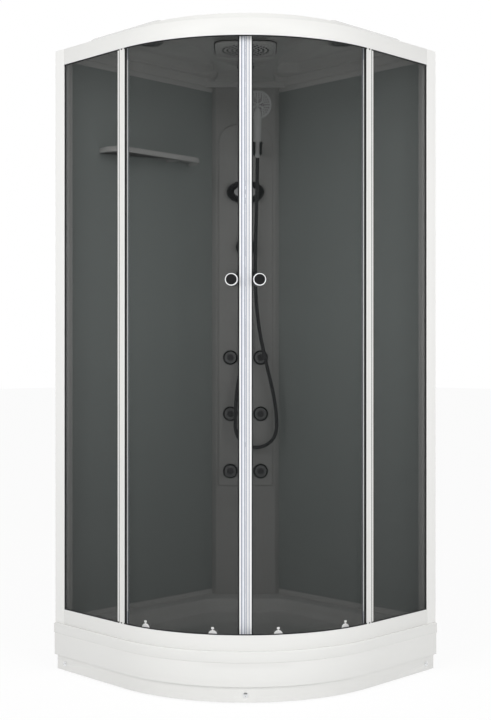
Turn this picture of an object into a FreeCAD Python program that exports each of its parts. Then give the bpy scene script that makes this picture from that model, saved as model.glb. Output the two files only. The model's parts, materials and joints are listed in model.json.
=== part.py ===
import FreeCAD, Part
import math
import os

# Quadrant steam shower cabin with two curved sliding doors, in millimetres.
#
# Row frame: +Z up, the floor at Z = 0, the origin under the centre of the square plan.
# The two walls that stand in the corner of a room lie in the planes X = -HALF and Y = +HALF.
# The curved front faces +X -Y, and everything but the shelf, the hose and the hand shower is
# mirrored in the diagonal through the corner.
#
# An "inset" is a distance in from the outer line of the tray's front, a "gap" a distance from
# the room wall along it, and an "angle" is measured from the diagonal, positive to the right.

V = FreeCAD.Vector
UP = V(0, 0, 1)
OUT = V(0, -1, 0)

# ---------------------------------------------------------------- plan
SIDE = 900.0                 # outer side of the square that the quadrant is cut from
FRONT_RADIUS = 550.0         # radius of the curved front
HALF = SIDE / 2
ARC = V(HALF - FRONT_RADIUS, FRONT_RADIUS - HALF, 0)
CORNER = V(-HALF, HALF, 0)
DIAGONAL = V(1, 1, 0)
ARC_REACH = math.sqrt(2) * (SIDE - FRONT_RADIUS)    # from the corner to the centre of the front's arc

# ---------------------------------------------------------------- heights
STRIP_FOOT = 4.0
STRIP_TOP = 52.0
RIM_BOTTOM = 124.0
RIM_HEIGHT = 34.0
TRAY_TOP = RIM_BOTTOM + RIM_HEIGHT
BASIN_DEPTH = 46.0
BASIN_FLOOR = TRAY_TOP - BASIN_DEPTH
BOTTOM_RAIL = 47.0
GLASS_VIEW = 1796.0          # clear height of the glass between the rails
TOP_RAIL = 51.0
TOP_RAIL_FOOT = TRAY_TOP + BOTTOM_RAIL + GLASS_VIEW
FRONT_TOP = TOP_RAIL_FOOT + TOP_RAIL

# ---------------------------------------------------------------- walls and sheets
SKIN = 4.0                   # moulded acrylic
ALU = 2.5                    # wall of the rails
GLASS = 5.0
SEAT = 0.3                   # clearance between pieces that rest in each other

# ---------------------------------------------------------------- rails, doors and rollers
RAIL_INSET = 6.0
FIXED_INSET = 12.0
POST_FACE = RAIL_INSET + ALU + 0.8
POST_BACK = 22.0
POST_OUTER = 18.0            # from the end of the curve towards the wall
POST_INNER = 5.0             # and towards the middle of the front
POST_WALL = 2.0
POST_FLUTE = (7.0, 13.0)     # shallow channel down the post's face, from its outer edge
FLUTE_DEPTH = 1.5
GROOVE = 12.0                # depth of the grooves that hold the fixed glass
GROOVE_CLEARANCE = 0.2
JAMB_WIDTH = 47.0
JAMB_BACK = 30.0
JAMB_WALL = 3.0
FIN_THICK = 1.5              # the fin on the post that meets the door's trailing seal
FIN_SETBACK = 2.5
FIN_CLEARANCE = 6.0          # between the fin and the door's glass
FIN_ENDS = 50.0              # the fin stops this far short of the glass's foot and top
DOOR_INSET = 33.0
DOOR_BACK = DOOR_INSET + GLASS
DOOR_EDGE = 1.75             # angle of the glass edge at the middle of the front
DOOR_TAIL = 46.5             # angle of the glass edge behind the post
SEAL_MEETING = 0.04          # angles again: where the two magnetic seals meet
SEAL_GRIP = 0.3
MAGNET_GROOVE = (1.05, 1.25)
TAIL_GRIP = 0.8
TAIL_LIP = 0.25
SLOT_GAP = 0.05
DOOR_UNDER = 13.0            # the door glass starts this far below the bottom rail's top
SEAL_WALL = 1.4
DOOR_OVER = 17.0             # and ends this far above the top rail's foot
LEDGE_INSET = DOOR_BACK + 5.0
LEDGE_THICK = 2.5
WHEEL_WIDTH = 6.0
WHEEL_RADIUS = 10.0
WHEEL_INSET = LEDGE_INSET
RAIL_BACK = WHEEL_INSET + WHEEL_WIDTH + 10.0
ROLLER_ANGLES = {"front": 11.0, "rear": 36.5}
AXLE_RADIUS = 2.5
AXLE_CLEARANCE = 0.05

DOOR_FOOT = TRAY_TOP + BOTTOM_RAIL - DOOR_UNDER
DOOR_TOP = TOP_RAIL_FOOT + DOOR_OVER
UPPER_LEDGE = DOOR_TOP + 6.0                       # underside of the upper ledge
ROLLING_GAP = 0.2
UPPER_AXLE = UPPER_LEDGE + LEDGE_THICK + WHEEL_RADIUS + ROLLING_GAP
LOWER_LEDGE = DOOR_FOOT - 10.5                     # underside of the lower ledge
GUIDE_RADIUS = 5.0
GUIDE_AXLE = LOWER_LEDGE - GUIDE_RADIUS - ROLLING_GAP
GUIDE_TRAVEL = 3.0

# ---------------------------------------------------------------- door fittings
KNOB_ANGLE = 4.55
KNOB_HEIGHT = 1270.0
KNOB_BOLT = 4.0
CAP_RADIUS = 14.0
CAP_DEPTH = 5.0
CAP_BOSS = 4.0
CAP_HEIGHT = 8.0             # middle of the cap above the foot of the door's glass
STEM = 4.0
HANGER_HALF = 17.0
CLAMP_LEG = 4.0
CLAMP_DROP = 10.0
BRIDGE = 3.0
BEND_GAP = 0.4               # a flat piece stands this far off the hollow side of the bent glass
BUTTON_ROD = 1.5
BUTTON_HALF = 4.5
BUTTON_THICK = 4.4
BUTTON_HEIGHT = 6.0
GUIDE_PIN = 2.0
GUIDE_BAR = 3.5

# ---------------------------------------------------------------- wall linings and column
LINING = 20.0                # depth of the wall lining and its trims
PANEL = 6.0
PANEL_BACK = 12.0            # from the room wall to the back of the panel
TRIM_LOW = 18.0
TRIM_HIGH = 20.0
TRIM_SIDE = 32.0
WALL_TOP = FRONT_TOP - 12
COLUMN_TOP = WALL_TOP - 5
COLUMN_LEG = 194.0           # along each wall, from the corner
LINING_START = COLUMN_LEG + SEAT
LINING_END = SIDE - JAMB_BACK - SEAT
TRIM_GRIP = 8.0              # the panel reaches this far into the trims
PANEL_CLEARANCE = 0.15
COLUMN_FACE = 165.0          # from the corner, along the diagonal
COLUMN_ROUND = 12.0
RAISED_HALF = 100.0
RAISED_FOOT = 560.0
RAISED_TOP = COLUMN_TOP - 135
RAISED_ROUND = 70.0
RAISED = 8.0
MOUNT_FACE = COLUMN_FACE + RAISED                   # fittings seat here

# ---------------------------------------------------------------- fittings on the column
PANEL_HEIGHT = RAISED_TOP - 254
PANEL_OVAL = (70.0, 42.5)
SCREEN_OVAL = (50.0, 26.0)
PANEL_DEPTH = 20.0
SCREEN_GAP = 2.0
DIVERTER_HEIGHT = PANEL_HEIGHT - 202
MIXER_HEIGHT = DIVERTER_HEIGHT - 111
KNOB_RADIUS = 35.0
KNOB_DEPTH = 36.0
SPINDLE = 4.0
JET_SIDE = 56.0
JET_RADIUS = 27.5
JET_BALL = 15.0
JET_CENTRE = MOUNT_FACE + 4.0
OUTLET_HEIGHT = MIXER_HEIGHT - 168
JET_HEIGHTS = (OUTLET_HEIGHT - 130, OUTLET_HEIGHT - 338, OUTLET_HEIGHT - 550)
OUTLET_RADIUS = 26.0
OUTLET_REACH = MOUNT_FACE + 27
OUTLET_DROP = 52.0           # from the outlet's axis down to the end of its hose nut
STEAM_HEIGHT = 410.0
STEAM_RADIUS = 19.0
JET_SHANK = 18.0
OUTLET_SHANK = 11.0
STEAM_SHANK = 10.0
HOLDER_SHANK = 5.5
PANEL_SHANK = 7.5
HOLE_GAP = 0.3               # round each shank where it goes through the column
HOLDER_SIDE = 43.5
HOLDER_HEIGHT = RAISED_TOP - 103
HOLDER_PIVOT = MOUNT_FACE + 32
HANDSET_FOOT = V(HOLDER_SIDE, -HOLDER_PIVOT - 31, HOLDER_HEIGHT - 32)
HANDSET_LEAN = 18.0
HANDSET_REACH = 191.0        # from the foot of the handle to the middle of the head
HEAD_RADIUS = 51.0
HOSE = 14.0                  # outer diameter

# ---------------------------------------------------------------- shelf
SHELF_START = 311.0          # from the corner, along the wall
SHELF_END = 725.0
SHELF_TOP = RAISED_TOP - 150
SHELF_REACH = 95.0
SHELF_BAND = 18.0
SHELF_ROUND = 60.0
SHELF_RIB = 110.0

# ---------------------------------------------------------------- behind the column
MIXER_HALF = 46.0
MIXER_ROUND = 4.0
MIXER_BACK = 104.0
MIXER_END = 35.0             # the body runs this far past its valves
MIXER_FRONT = 152.0
BONNET = 16.0
SPINDLE_HOLD = 18.0          # the spindles reach this far into the valves
INLET_SIDE = 32.0
INLET_V = 114.0
INLET_RADIUS = 10.0
INLET_BORE = 7.0
INLET_LENGTH = 58.0
GENERATOR_HALF = 60.0
GENERATOR_BACK = 74.0
GENERATOR_FRONT = 150.0
GENERATOR_FOOT = 180.0
GENERATOR_TOP = 360.0
PIPE = 8.0
MANIFOLD_V = 128.0
RISER_V = 70.0

# ---------------------------------------------------------------- hand shower, as (radius, height)
HANDLE = [(9.0, 0), (9.5, 14), (10.5, 15), (13.0, 62), (13.5, 66), (13.5, 100), (14.5, 130), (16, 150)]
CRADLE_LOW = 16.0
CRADLE_HIGH = 58.0
CRADLE_SLOT = 8.0
KNUCKLE = 9.0
KNUCKLE_HALF = 6.0
EAR_OUT = 10.0
TILT_PIN = 3.0

# ---------------------------------------------------------------- roof
ROOF_INSET = 32.0
ROOF_LIP = 9.0               # height of the roof's edge on the rail
ROOF_SHOULDER = FRONT_TOP + 21
SHOULDER_INSET = 57.0        # the shoulder stands back from the straight sides
SHOULDER_ROUND = 450.0       # and bows forward to the roof's edge in the middle of the front
CHANNEL_STOP = 90.0          # the spine's channel on top ends this far short of the front
ROOF_LOBE = ROOF_SHOULDER + 31
LOBE_INSET = 100.0
LOBE_WALL = 46.0
LOBE_CORNER = 262.0          # from the corner, along the diagonal
LOBE_ROUND = 30.0
LOBE_CROWN = 24.0
PLATEAU = ROOF_LOBE - 48     # underside of the waisted spine
SPINE_WAIST = 98.0
SPINE_RADIUS = 930.0
SPINE_FORWARD = -150.0
RAIN_FORWARD = 169.0
RAIN_SIDE = 200.0
RAIN_THICK = 8.0
RAIN_ROUND = 45.0
RAIN_SHANK = 10.0
RAIN_RINGS = 5
RAIN_PITCH = 15.0            # between rings of nozzles
LAMP_SHANK = 24.7
LAMP_FORWARD = -93.0
LAMP_RADIUS = 31.0
GRILLE_PLACE = (325.0, 70.0)  # to the side and forward of the arc's centre
GRILLE_RADIUS = 47.5
FAN_CASE = 24.0
FAN_SPINDLE = 2.0
FAN_HUB = 10.0
FAN_HEIGHT = 11.0
FAN_BLADES = 7

# ---------------------------------------------------------------- base
BASIN_FRONT = 64.0
BASIN_SIDE = 80.0
BASIN_CHAMFER = 250.0        # from the corner, along the diagonal
BASIN_ROUND = 70.0
DRAIN = ARC_REACH + 210      # from the corner, along the diagonal
DRAIN_RADIUS = 45.0
APRON_STEP = 8.0             # the lower strip stands this far behind the apron's main band
APRON_INSET = 2.0
STRIP_INSET = APRON_INSET + APRON_STEP
STRIP_GAP = 8.0              # the strip stops this far short of the room walls
APRON_WALL = 3.0
SCREW_SHANK = 3.0
APRON_SCREW_HEIGHT = 26.0
APRON_SCREW_GAP = 49.0
TUBE = 25.0
TUBE_WALL = 2.0
WALL_BEAM = 40.0             # middle of the beams along the walls, from the room wall
BEAM_END = 50.0
TWIN_BEAM = 120.0            # the two beams along the diagonal, each side of it
TWIN_START = 150.0
TWIN_END = ARC_REACH + FRONT_RADIUS - 95
CROSS_BEAM = ARC_REACH + 65
FRONT_FOOT = TWIN_END - 35
STRAP = 30.0                 # width of the straps that hold the apron's screws
STRAP_THICK = 3.0
ARM_THICK = 4.0
FRAME_TOP = BASIN_FLOOR - SKIN
FRAME_FOOT = FRAME_TOP - TUBE
FOOT_PAD = 25.0
STUD = 6.0
NUT_RADIUS = 11.0
NUT_HEIGHT = 10.0
TRAP_RADIUS = 42.0
TRAP_FOOT = 24.0
TRAP_WALL = 3.0
TRAP_FLANGE = 58.0
WASTE_PIPE = 20.0
WASTE_BORE = 18.0
WASTE_HEIGHT = 56.0
WASTE_REACH = 265.0          # from the drain to the open end of the waste pipe
WASTE_COLLAR = 26.0
WASTE_COLLAR_REACH = 55.0    # from the drain to the collar's face, where the pipe starts
SPIDER_BORE = 5.2
SPIDER_TOP = 98.0
COVER_RADIUS = 57.0


# ================================================================ helpers
def line(a, b):
    return Part.LineSegment(a, b).toShape()


def front_arc(inset, start=-45.0, stop=45.0):
    circle = Part.Circle(ARC, UP, FRONT_RADIUS - inset)
    return Part.ArcOfCircle(circle, math.radians(start - 45), math.radians(stop - 45)).toShape()


def front_line(inset, gap):
    """The front from the left wall to the right wall: straight, curved, straight."""
    left = line(V(-HALF + gap, -HALF + inset, 0), V(ARC.x, -HALF + inset, 0))
    right = line(V(HALF - inset, ARC.y, 0), V(HALF - inset, HALF - gap, 0))
    return [left, front_arc(inset), right]


def flat(edges):
    return Part.Face(Part.Wire(edges))


def polygon(points):
    return Part.Face(Part.makePolygon(points + points[:1]))


def prism(face, low, high):
    foot = face.copy()
    foot.translate(V(0, 0, low))
    return foot.extrude(V(0, 0, high - low))


def plan(inset, gap):
    """The whole plan, set in from the front by inset and from both walls by gap."""
    left = V(-HALF + gap, -HALF + inset, 0)
    back = V(-HALF + gap, HALF - gap, 0)
    right = V(HALF - inset, HALF - gap, 0)
    return flat(front_line(inset, gap) + [line(right, back), line(back, left)])


def band(outer, inner, low, high, gap):
    """A wall that follows the front between two insets."""
    left = line(V(-HALF + gap, -HALF + inner, 0), V(-HALF + gap, -HALF + outer, 0))
    right = line(V(HALF - outer, HALF - gap, 0), V(HALF - inner, HALF - gap, 0))
    edges = front_line(outer, gap) + [right] + front_line(inner, gap)[::-1] + [left]
    return prism(flat(edges), low, high)


def on_front(angle, inset):
    turn = math.radians(angle - 45)
    reach = FRONT_RADIUS - inset
    return ARC + V(reach * math.cos(turn), reach * math.sin(turn), 0)


def curved_plate(outer, inner, start, stop, low, high):
    """A plate bent about the front's centre, such as a door's glass."""
    edges = [
        front_arc(outer, start, stop),
        line(on_front(stop, outer), on_front(stop, inner)),
        front_arc(inner, start, stop),
        line(on_front(start, inner), on_front(start, outer)),
    ]
    return prism(flat(edges), low, high)


def box(x0, x1, y0, y1, z0, z1):
    return Part.makeBox(x1 - x0, y1 - y0, z1 - z0, V(x0, y0, z0))


def front_bar(near, far, outer, inner, low, high):
    """A bar on the left straight of the front, between two gaps from the wall."""
    return box(-HALF + near, -HALF + far, -HALF + outer, -HALF + inner, low, high)


def mirrored(shape):
    return shape.mirror(ARC, DIAGONAL)


def at_corner(shape):
    """From the corner's frame (x to the right, y into the corner) to the row frame."""
    placed = shape.copy()
    placed.rotate(V(0, 0, 0), UP, 45)
    placed.translate(CORNER)
    return placed


def at_front(shape, angle=0.0):
    """From a frame on the arc's centre (x along the front, y inwards) to the row frame."""
    placed = shape.copy()
    placed.rotate(V(0, 0, 0), UP, 45 + angle)
    placed.translate(ARC)
    return placed


def corner_box(u0, u1, v0, v1, z0, z1):
    return box(u0, u1, -v1, -v0, z0, z1)


def inset_box(width, outer, inner, low, high):
    """A box across the front's radius at angle 0, for at_front."""
    return box(-width / 2, width / 2, outer - FRONT_RADIUS, inner - FRONT_RADIUS, low, high)


def rod_out(radius, u, v0, v1, z):
    return Part.makeCylinder(radius, v1 - v0, V(u, -v0, z), OUT)


def rod_up(radius, x, y, low, high):
    return Part.makeCylinder(radius, high - low, V(x, y, low), UP)


def turned(profile):
    """A solid turned about the z axis from (radius, height) points."""
    points = [V(0, 0, profile[0][1])] + [V(r, 0, h) for r, h in profile] + [V(0, 0, profile[-1][1])]
    unique = [points[0]] + [b for a, b in zip(points, points[1:]) if (b - a).Length > 1e-6]
    return polygon(unique).revolve(V(0, 0, 0), UP, 360)


def turned_out(profile, u, v, z):
    """The same, standing out of the column's face."""
    solid = turned(profile)
    solid.rotate(V(0, 0, 0), V(1, 0, 0), 90)
    solid.translate(V(u, -v, z))
    return solid


def upright(edge):
    bounds = edge.BoundBox
    return bounds.XLength < 1e-6 and bounds.YLength < 1e-6


def round_uprights(solid, radius, keep=lambda edge: True):
    edges = [e for e in solid.Edges if upright(e) and keep(e)]
    return solid.makeFillet(radius, edges)


def round_level(solid, radius, height):
    edges = [
        e for e in solid.Edges
        if abs(e.BoundBox.ZMin - height) < 1e-6 and abs(e.BoundBox.ZMax - height) < 1e-6
    ]
    return solid.makeFillet(radius, edges)


def oval(half_width, half_height, u, z, v0, v1):
    """An upright oval plate on the column, from v0 to v1."""
    ellipse = Part.Ellipse(V(0, 0, 0), half_width, half_height).toShape()
    plate = Part.Face(Part.Wire([ellipse])).extrude(V(0, 0, v1 - v0))
    plate.rotate(V(0, 0, 0), V(1, 0, 0), 90)
    plate.translate(V(u, -v0, z))
    return plate


def joined(solids):
    return solids[0].multiFuse(solids[1:]).removeSplitter()


# ================================================================ base
def basin_solid(outset, low, high):
    """The basin follows the front and the walls, with the corner cut at 45 degrees."""
    region = prism(plan(BASIN_FRONT - outset, BASIN_SIDE - outset), low, high)
    corner = at_corner(corner_box(-SIDE, SIDE, 0, BASIN_CHAMFER - outset, low, high))
    cut = region.cut(corner)
    convex = round_uprights(cut, BASIN_ROUND + outset, lambda e: not on_arc_end(e))
    return round_level(convex, BASIN_ROUND / 3 + outset, low)


def on_arc_end(edge):
    """The two uprights where the front's curve meets its straight sides need no rounding."""
    place = edge.CenterOfMass
    return abs(place.x - ARC.x) < 1e-3 or abs(place.y - ARC.y) < 1e-3


def make_tray():
    rim = prism(plan(0, 0), RIM_BOTTOM, TRAY_TOP)
    rim = round_level(rim, 5, TRAY_TOP)
    under = prism(plan(SKIN, SKIN), RIM_BOTTOM, TRAY_TOP - SKIN)
    shell = rim.cut(under).fuse(basin_solid(SKIN, FRAME_TOP, TRAY_TOP - SKIN / 2))
    bowl = shell.cut(basin_solid(0, BASIN_FLOOR, TRAY_TOP + SKIN))
    drain = at_corner(rod_up(DRAIN_RADIUS, 0, -DRAIN, FRAME_TOP - 1, BASIN_FLOOR + 1))
    return bowl.cut(drain)


def make_apron():
    back = STRIP_INSET + APRON_WALL
    face = band(APRON_INSET, APRON_INSET + APRON_WALL, STRIP_TOP, RIM_BOTTOM, APRON_INSET)
    shelf = band(APRON_INSET, back, STRIP_TOP, STRIP_TOP + APRON_WALL, STRIP_GAP)
    strip = band(STRIP_INSET, back, STRIP_FOOT, STRIP_TOP + APRON_WALL, STRIP_GAP)
    return joined([face, shelf, strip]).cut(screw_holes(SCREW_SHANK + ROLLING_GAP))


def screw_places():
    """Middle of the front, then near each wall: a function that puts a radial shape there."""
    def left(shape):
        placed = shape.copy()
        placed.translate(V(-HALF + APRON_SCREW_GAP, FRONT_RADIUS - HALF, 0))
        return placed

    return [at_front, left, lambda shape: mirrored(left(shape))]


def screw_holes(radius):
    start = FRONT_RADIUS - STRIP_INSET - 30
    hole = Part.makeCylinder(radius, 45, V(0, -start, APRON_SCREW_HEIGHT), OUT)
    return Part.makeCompound([place(hole) for place in screw_places()])


def make_apron_screws():
    profile = [(8, 0), (8, 1.2), (5.5, 1.6), (5, 3.6), (3.2, 4.6), (2, 4.6), (2, 3)]
    screw = turned(profile).fuse(rod_up(SCREW_SHANK, 0, 0, -24, 0.5))
    screw.rotate(V(0, 0, 0), V(1, 0, 0), 90)
    screw.translate(V(0, STRIP_INSET - FRONT_RADIUS, APRON_SCREW_HEIGHT))
    return Part.makeCompound([place(screw) for place in screw_places()])


def beam_along_wall(half, low, high):
    x = -HALF + WALL_BEAM
    return box(x - half, x + half, -HALF + BEAM_END, HALF - WALL_BEAM + half, low, high)


def beams(shrink):
    """Welded square tube, or its bore when shrink is the tube's wall."""
    half = TUBE / 2 - shrink
    low, high = FRAME_FOOT + shrink, FRAME_TOP - shrink
    wall = beam_along_wall(half, low, high)
    reach = CROSS_BEAM - math.sqrt(2) * WALL_BEAM
    cross = corner_box(-reach, reach, CROSS_BEAM - half, CROSS_BEAM + half, low, high)
    solids = [wall, mirrored(wall), at_corner(cross)]
    for side in (-1, 1):
        middle = side * TWIN_BEAM
        solids.append(at_corner(corner_box(middle - half, middle + half, TWIN_START, TWIN_END, low, high)))
    return solids


def foot_places():
    """Feet under the ends of the wall beams, under their meeting and under the front."""
    x = -HALF + WALL_BEAM
    end = V(x, -HALF + BEAM_END + TUBE, 0)
    places = [end, V(-end.y, -end.x, 0), V(x, -x, 0)]
    for side in (-1, 1):
        u, v = side * TWIN_BEAM, FRONT_FOOT
        places.append(CORNER + V((u + v) / math.sqrt(2), (u - v) / math.sqrt(2), 0))
    return places


def apron_bracket(low, high):
    """A flat strap behind the apron's screw, hung from the frame."""
    back = strap_inset()
    return inset_box(STRAP, back, back + STRAP_THICK, low, high)


def strap_inset():
    return STRIP_INSET + APRON_WALL + SEAT


def make_base_frame():
    frame = joined(beams(0))
    for bore in beams(TUBE_WALL):
        frame = frame.cut(bore)
    for place in foot_places():
        hole = rod_up(STUD + AXLE_CLEARANCE, place.x, place.y, FRAME_FOOT - 1, FRAME_FOOT + TUBE_WALL + 1)
        frame = frame.cut(hole)
    half = TUBE / 2
    posts = [
        box(place.x - half, place.x + half, place.y - half, place.y + half, FRAME_TOP, TRAY_TOP - SKIN)
        for place in foot_places()[:3]
    ]
    low, high = APRON_SCREW_HEIGHT - STRAP / 2, FRAME_TOP
    straps = [place(apron_bracket(low, high)) for place in screw_places()]
    cross = at_corner(corner_box(-TWIN_BEAM, TWIN_BEAM, TWIN_END - TUBE, TWIN_END, FRAME_FOOT, FRAME_TOP))
    back = strap_inset()
    arm_end = ARC_REACH + FRONT_RADIUS - back
    half, arm_low = STRAP / 2, FRAME_TOP - ARM_THICK
    arm = at_corner(corner_box(-half, half, TWIN_END - 1, arm_end, arm_low, FRAME_TOP))
    side_x = -HALF + APRON_SCREW_GAP
    side_arm = box(side_x - half, side_x + half, -HALF + back, -HALF + BEAM_END + 1, arm_low, FRAME_TOP)
    welded = [frame, cross, arm, side_arm, mirrored(side_arm)] + posts + straps
    return joined(welded).cut(screw_holes(SCREW_SHANK + AXLE_CLEARANCE))


def make_levelling_feet():
    feet = []
    for place in foot_places():
        pad = turned([(FOOT_PAD, 0), (FOOT_PAD, 6), (FOOT_PAD - 8, 11), (STUD + 3, 13)])
        stud = rod_up(STUD, 0, 0, 12, FRAME_TOP - TUBE_WALL - 3)
        turns = [math.radians(60 * k) for k in range(6)]
        corners = [V(NUT_RADIUS * math.cos(turn), NUT_RADIUS * math.sin(turn), 0) for turn in turns]
        nut = prism(polygon(corners), FRAME_FOOT - NUT_HEIGHT, FRAME_FOOT)
        foot = joined([pad, stud, nut])
        foot.translate(place)
        feet.append(foot)
    return Part.makeCompound(feet)


def make_waste_trap():
    """Cup under the drain with its flange in the tray's hole and an outlet towards the corner."""
    seat = DRAIN_RADIUS - SEAT
    outer = turned([(TRAP_RADIUS, TRAP_FOOT), (TRAP_RADIUS, FRAME_TOP - 6), (TRAP_FLANGE, FRAME_TOP - 4),
                    (TRAP_FLANGE, FRAME_TOP), (seat, FRAME_TOP), (seat, BASIN_FLOOR)])
    inside = TRAP_RADIUS - TRAP_WALL
    hollow = rod_up(inside, 0, 0, TRAP_FOOT + TRAP_WALL, BASIN_FLOOR + 1)
    reach, foot = inside + 2, SPIDER_TOP - 6
    spider = joined([
        box(-reach, reach, -2, 2, foot, SPIDER_TOP),
        box(-2, 2, -reach, reach, foot, SPIDER_TOP),
        rod_up(SPIDER_BORE + 4, 0, 0, foot - 8, SPIDER_TOP),
    ])
    cup = outer.cut(hollow).fuse(spider).cut(rod_up(SPIDER_BORE, 0, 0, foot - 9, SPIDER_TOP + 1))
    pipe = Part.makeCylinder(WASTE_PIPE, WASTE_REACH, V(0, 0, WASTE_HEIGHT), V(0, 1, 0))
    collar = Part.makeCylinder(WASTE_COLLAR, WASTE_COLLAR_REACH, V(0, 0, WASTE_HEIGHT), V(0, 1, 0))
    bore = Part.makeCylinder(WASTE_BORE, WASTE_REACH + 1, V(0, 0, WASTE_HEIGHT), V(0, 1, 0))
    room = rod_up(inside, 0, 0, TRAP_FOOT + TRAP_WALL, WASTE_HEIGHT + WASTE_COLLAR + 1)
    trap = cup.fuse(pipe.fuse(collar).cut(room)).cut(bore).removeSplitter()
    trap.translate(V(0, -DRAIN, 0))
    return at_corner(trap)


def make_waste_cover():
    stem, seat, foot = SPIDER_BORE - 0.2, SPIDER_TOP + 0.2, BASIN_FLOOR + 2
    cover = turned([(stem, SPIDER_TOP - 18), (stem, seat), (12, seat), (12, seat + 6), (stem, seat + 8),
                    (stem, foot), (COVER_RADIUS - 3, foot), (COVER_RADIUS, foot + 2),
                    (COVER_RADIUS - 7, foot + 6), (25, foot + 9), (0, foot + 10)])
    cover.translate(V(0, -DRAIN, 0))
    return at_corner(cover)


# ================================================================ rails, jambs and posts
def make_bottom_rail():
    top = TRAY_TOP + BOTTOM_RAIL
    return joined([
        band(RAIL_INSET, RAIL_INSET + ALU, TRAY_TOP, top, JAMB_WIDTH + SEAT),
        band(RAIL_INSET, RAIL_BACK, TRAY_TOP, TRAY_TOP + ALU, JAMB_WIDTH + SEAT),
        band(RAIL_BACK - ALU, RAIL_BACK, TRAY_TOP, LOWER_LEDGE + LEDGE_THICK, JAMB_WIDTH + SEAT),
        band(LEDGE_INSET, RAIL_BACK, LOWER_LEDGE, LOWER_LEDGE + LEDGE_THICK, JAMB_WIDTH + SEAT),
    ])


def make_top_rail():
    return joined([
        band(RAIL_INSET, RAIL_INSET + ALU, TOP_RAIL_FOOT, FRONT_TOP, JAMB_WIDTH + SEAT),
        band(RAIL_INSET, RAIL_BACK, FRONT_TOP - ALU, FRONT_TOP, JAMB_WIDTH + SEAT),
        band(RAIL_BACK - ALU, RAIL_BACK, UPPER_LEDGE, FRONT_TOP, JAMB_WIDTH + SEAT),
        band(LEDGE_INSET, RAIL_BACK, UPPER_LEDGE, UPPER_LEDGE + LEDGE_THICK, JAMB_WIDTH + SEAT),
    ])


def glass_slot(near, far):
    outer, inner = FIXED_INSET - GROOVE_CLEARANCE, FIXED_INSET + GLASS + GROOVE_CLEARANCE
    return front_bar(near, far, outer, inner, 0, ROOF_LOBE)


def make_left_jamb():
    outer = front_bar(0, JAMB_WIDTH, RAIL_INSET, JAMB_BACK, TRAY_TOP, FRONT_TOP)
    outer = round_uprights(outer, 2)
    wall = JAMB_WALL
    bore = front_bar(wall, JAMB_WIDTH - GROOVE - wall, RAIL_INSET + wall, JAMB_BACK - wall, 0, ROOF_LOBE)
    return outer.cut(bore).cut(glass_slot(JAMB_WIDTH - GROOVE, JAMB_WIDTH + 1))


def post_edges():
    """The posts stand where the curve meets the straight sides: their two gaps from the wall."""
    curve_end = SIDE - FRONT_RADIUS
    return curve_end - POST_OUTER, curve_end + POST_INNER


def make_left_post():
    near, far = post_edges()
    low, high = TRAY_TOP + ALU, FRONT_TOP - ALU
    body = front_bar(near, far, POST_FACE, POST_BACK, low, high)
    body = round_uprights(body, 1.5)
    flute = front_bar(near + POST_FLUTE[0], near + POST_FLUTE[1], 0, POST_FACE + FLUTE_DEPTH, 0, ROOF_LOBE)
    bore = front_bar(
        near + GROOVE + POST_WALL, far - POST_WALL, POST_FACE + POST_WALL, POST_BACK - POST_WALL, 0, ROOF_LOBE
    )
    fin = front_bar(
        far - FIN_SETBACK - FIN_THICK, far - FIN_SETBACK, POST_BACK - 1, DOOR_INSET - FIN_CLEARANCE,
        DOOR_FOOT + FIN_ENDS, DOOR_TOP - FIN_ENDS,
    )
    slot = glass_slot(near - 1, near + GROOVE)
    return body.cut(flute).cut(bore).cut(slot).fuse(fin)


def make_left_fixed_glass():
    near = JAMB_WIDTH - GROOVE + 1
    far = post_edges()[0] + GROOVE - 1
    low, high = TRAY_TOP + ALU + SEAT, FRONT_TOP - ALU - SEAT
    return front_bar(near, far, FIXED_INSET, FIXED_INSET + GLASS, low, high)


# ================================================================ doors (right-hand one, at positive angles)
def make_door_glass():
    glass = curved_plate(DOOR_INSET, DOOR_BACK, DOOR_EDGE, DOOR_TAIL, DOOR_FOOT, DOOR_TOP)
    for angle in ROLLER_ANGLES.values():
        hole = door_hole(CAP_BOSS + SEAT, DOOR_FOOT + CAP_HEIGHT)
        glass = glass.cut(at_front(hole, angle))
    return glass.cut(at_front(door_hole(KNOB_BOLT + SEAT, KNOB_HEIGHT), KNOB_ANGLE))


def door_hole(radius, height):
    return Part.makeCylinder(radius, 40, V(0, DOOR_BACK + 15 - FRONT_RADIUS, height), OUT)


def make_door_seals():
    """Magnetic seal on the leading edge, hooked seal on the trailing edge, over the glass."""
    low, high = DOOR_FOOT + 1, DOOR_TOP - 1
    outer, inner = DOOR_INSET - SEAL_WALL - SEAT, DOOR_BACK + SEAL_WALL + SEAT
    lead = curved_plate(outer, inner, SEAL_MEETING, DOOR_EDGE + SEAL_GRIP, low, high)
    magnet_groove = curved_plate(outer - 1, DOOR_INSET - SEAL_WALL, *MAGNET_GROOVE, low - 1, high + 1)
    tail = curved_plate(outer, inner, DOOR_TAIL - TAIL_GRIP, DOOR_TAIL + TAIL_LIP, low, high)
    slot = curved_plate(
        DOOR_INSET - SEAT / 3, DOOR_BACK + SEAT / 3, DOOR_EDGE - SLOT_GAP, DOOR_TAIL + SLOT_GAP, 0, ROOF_LOBE
    )
    return Part.makeCompound([lead.cut(slot).cut(magnet_groove), tail.cut(slot)])


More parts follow.
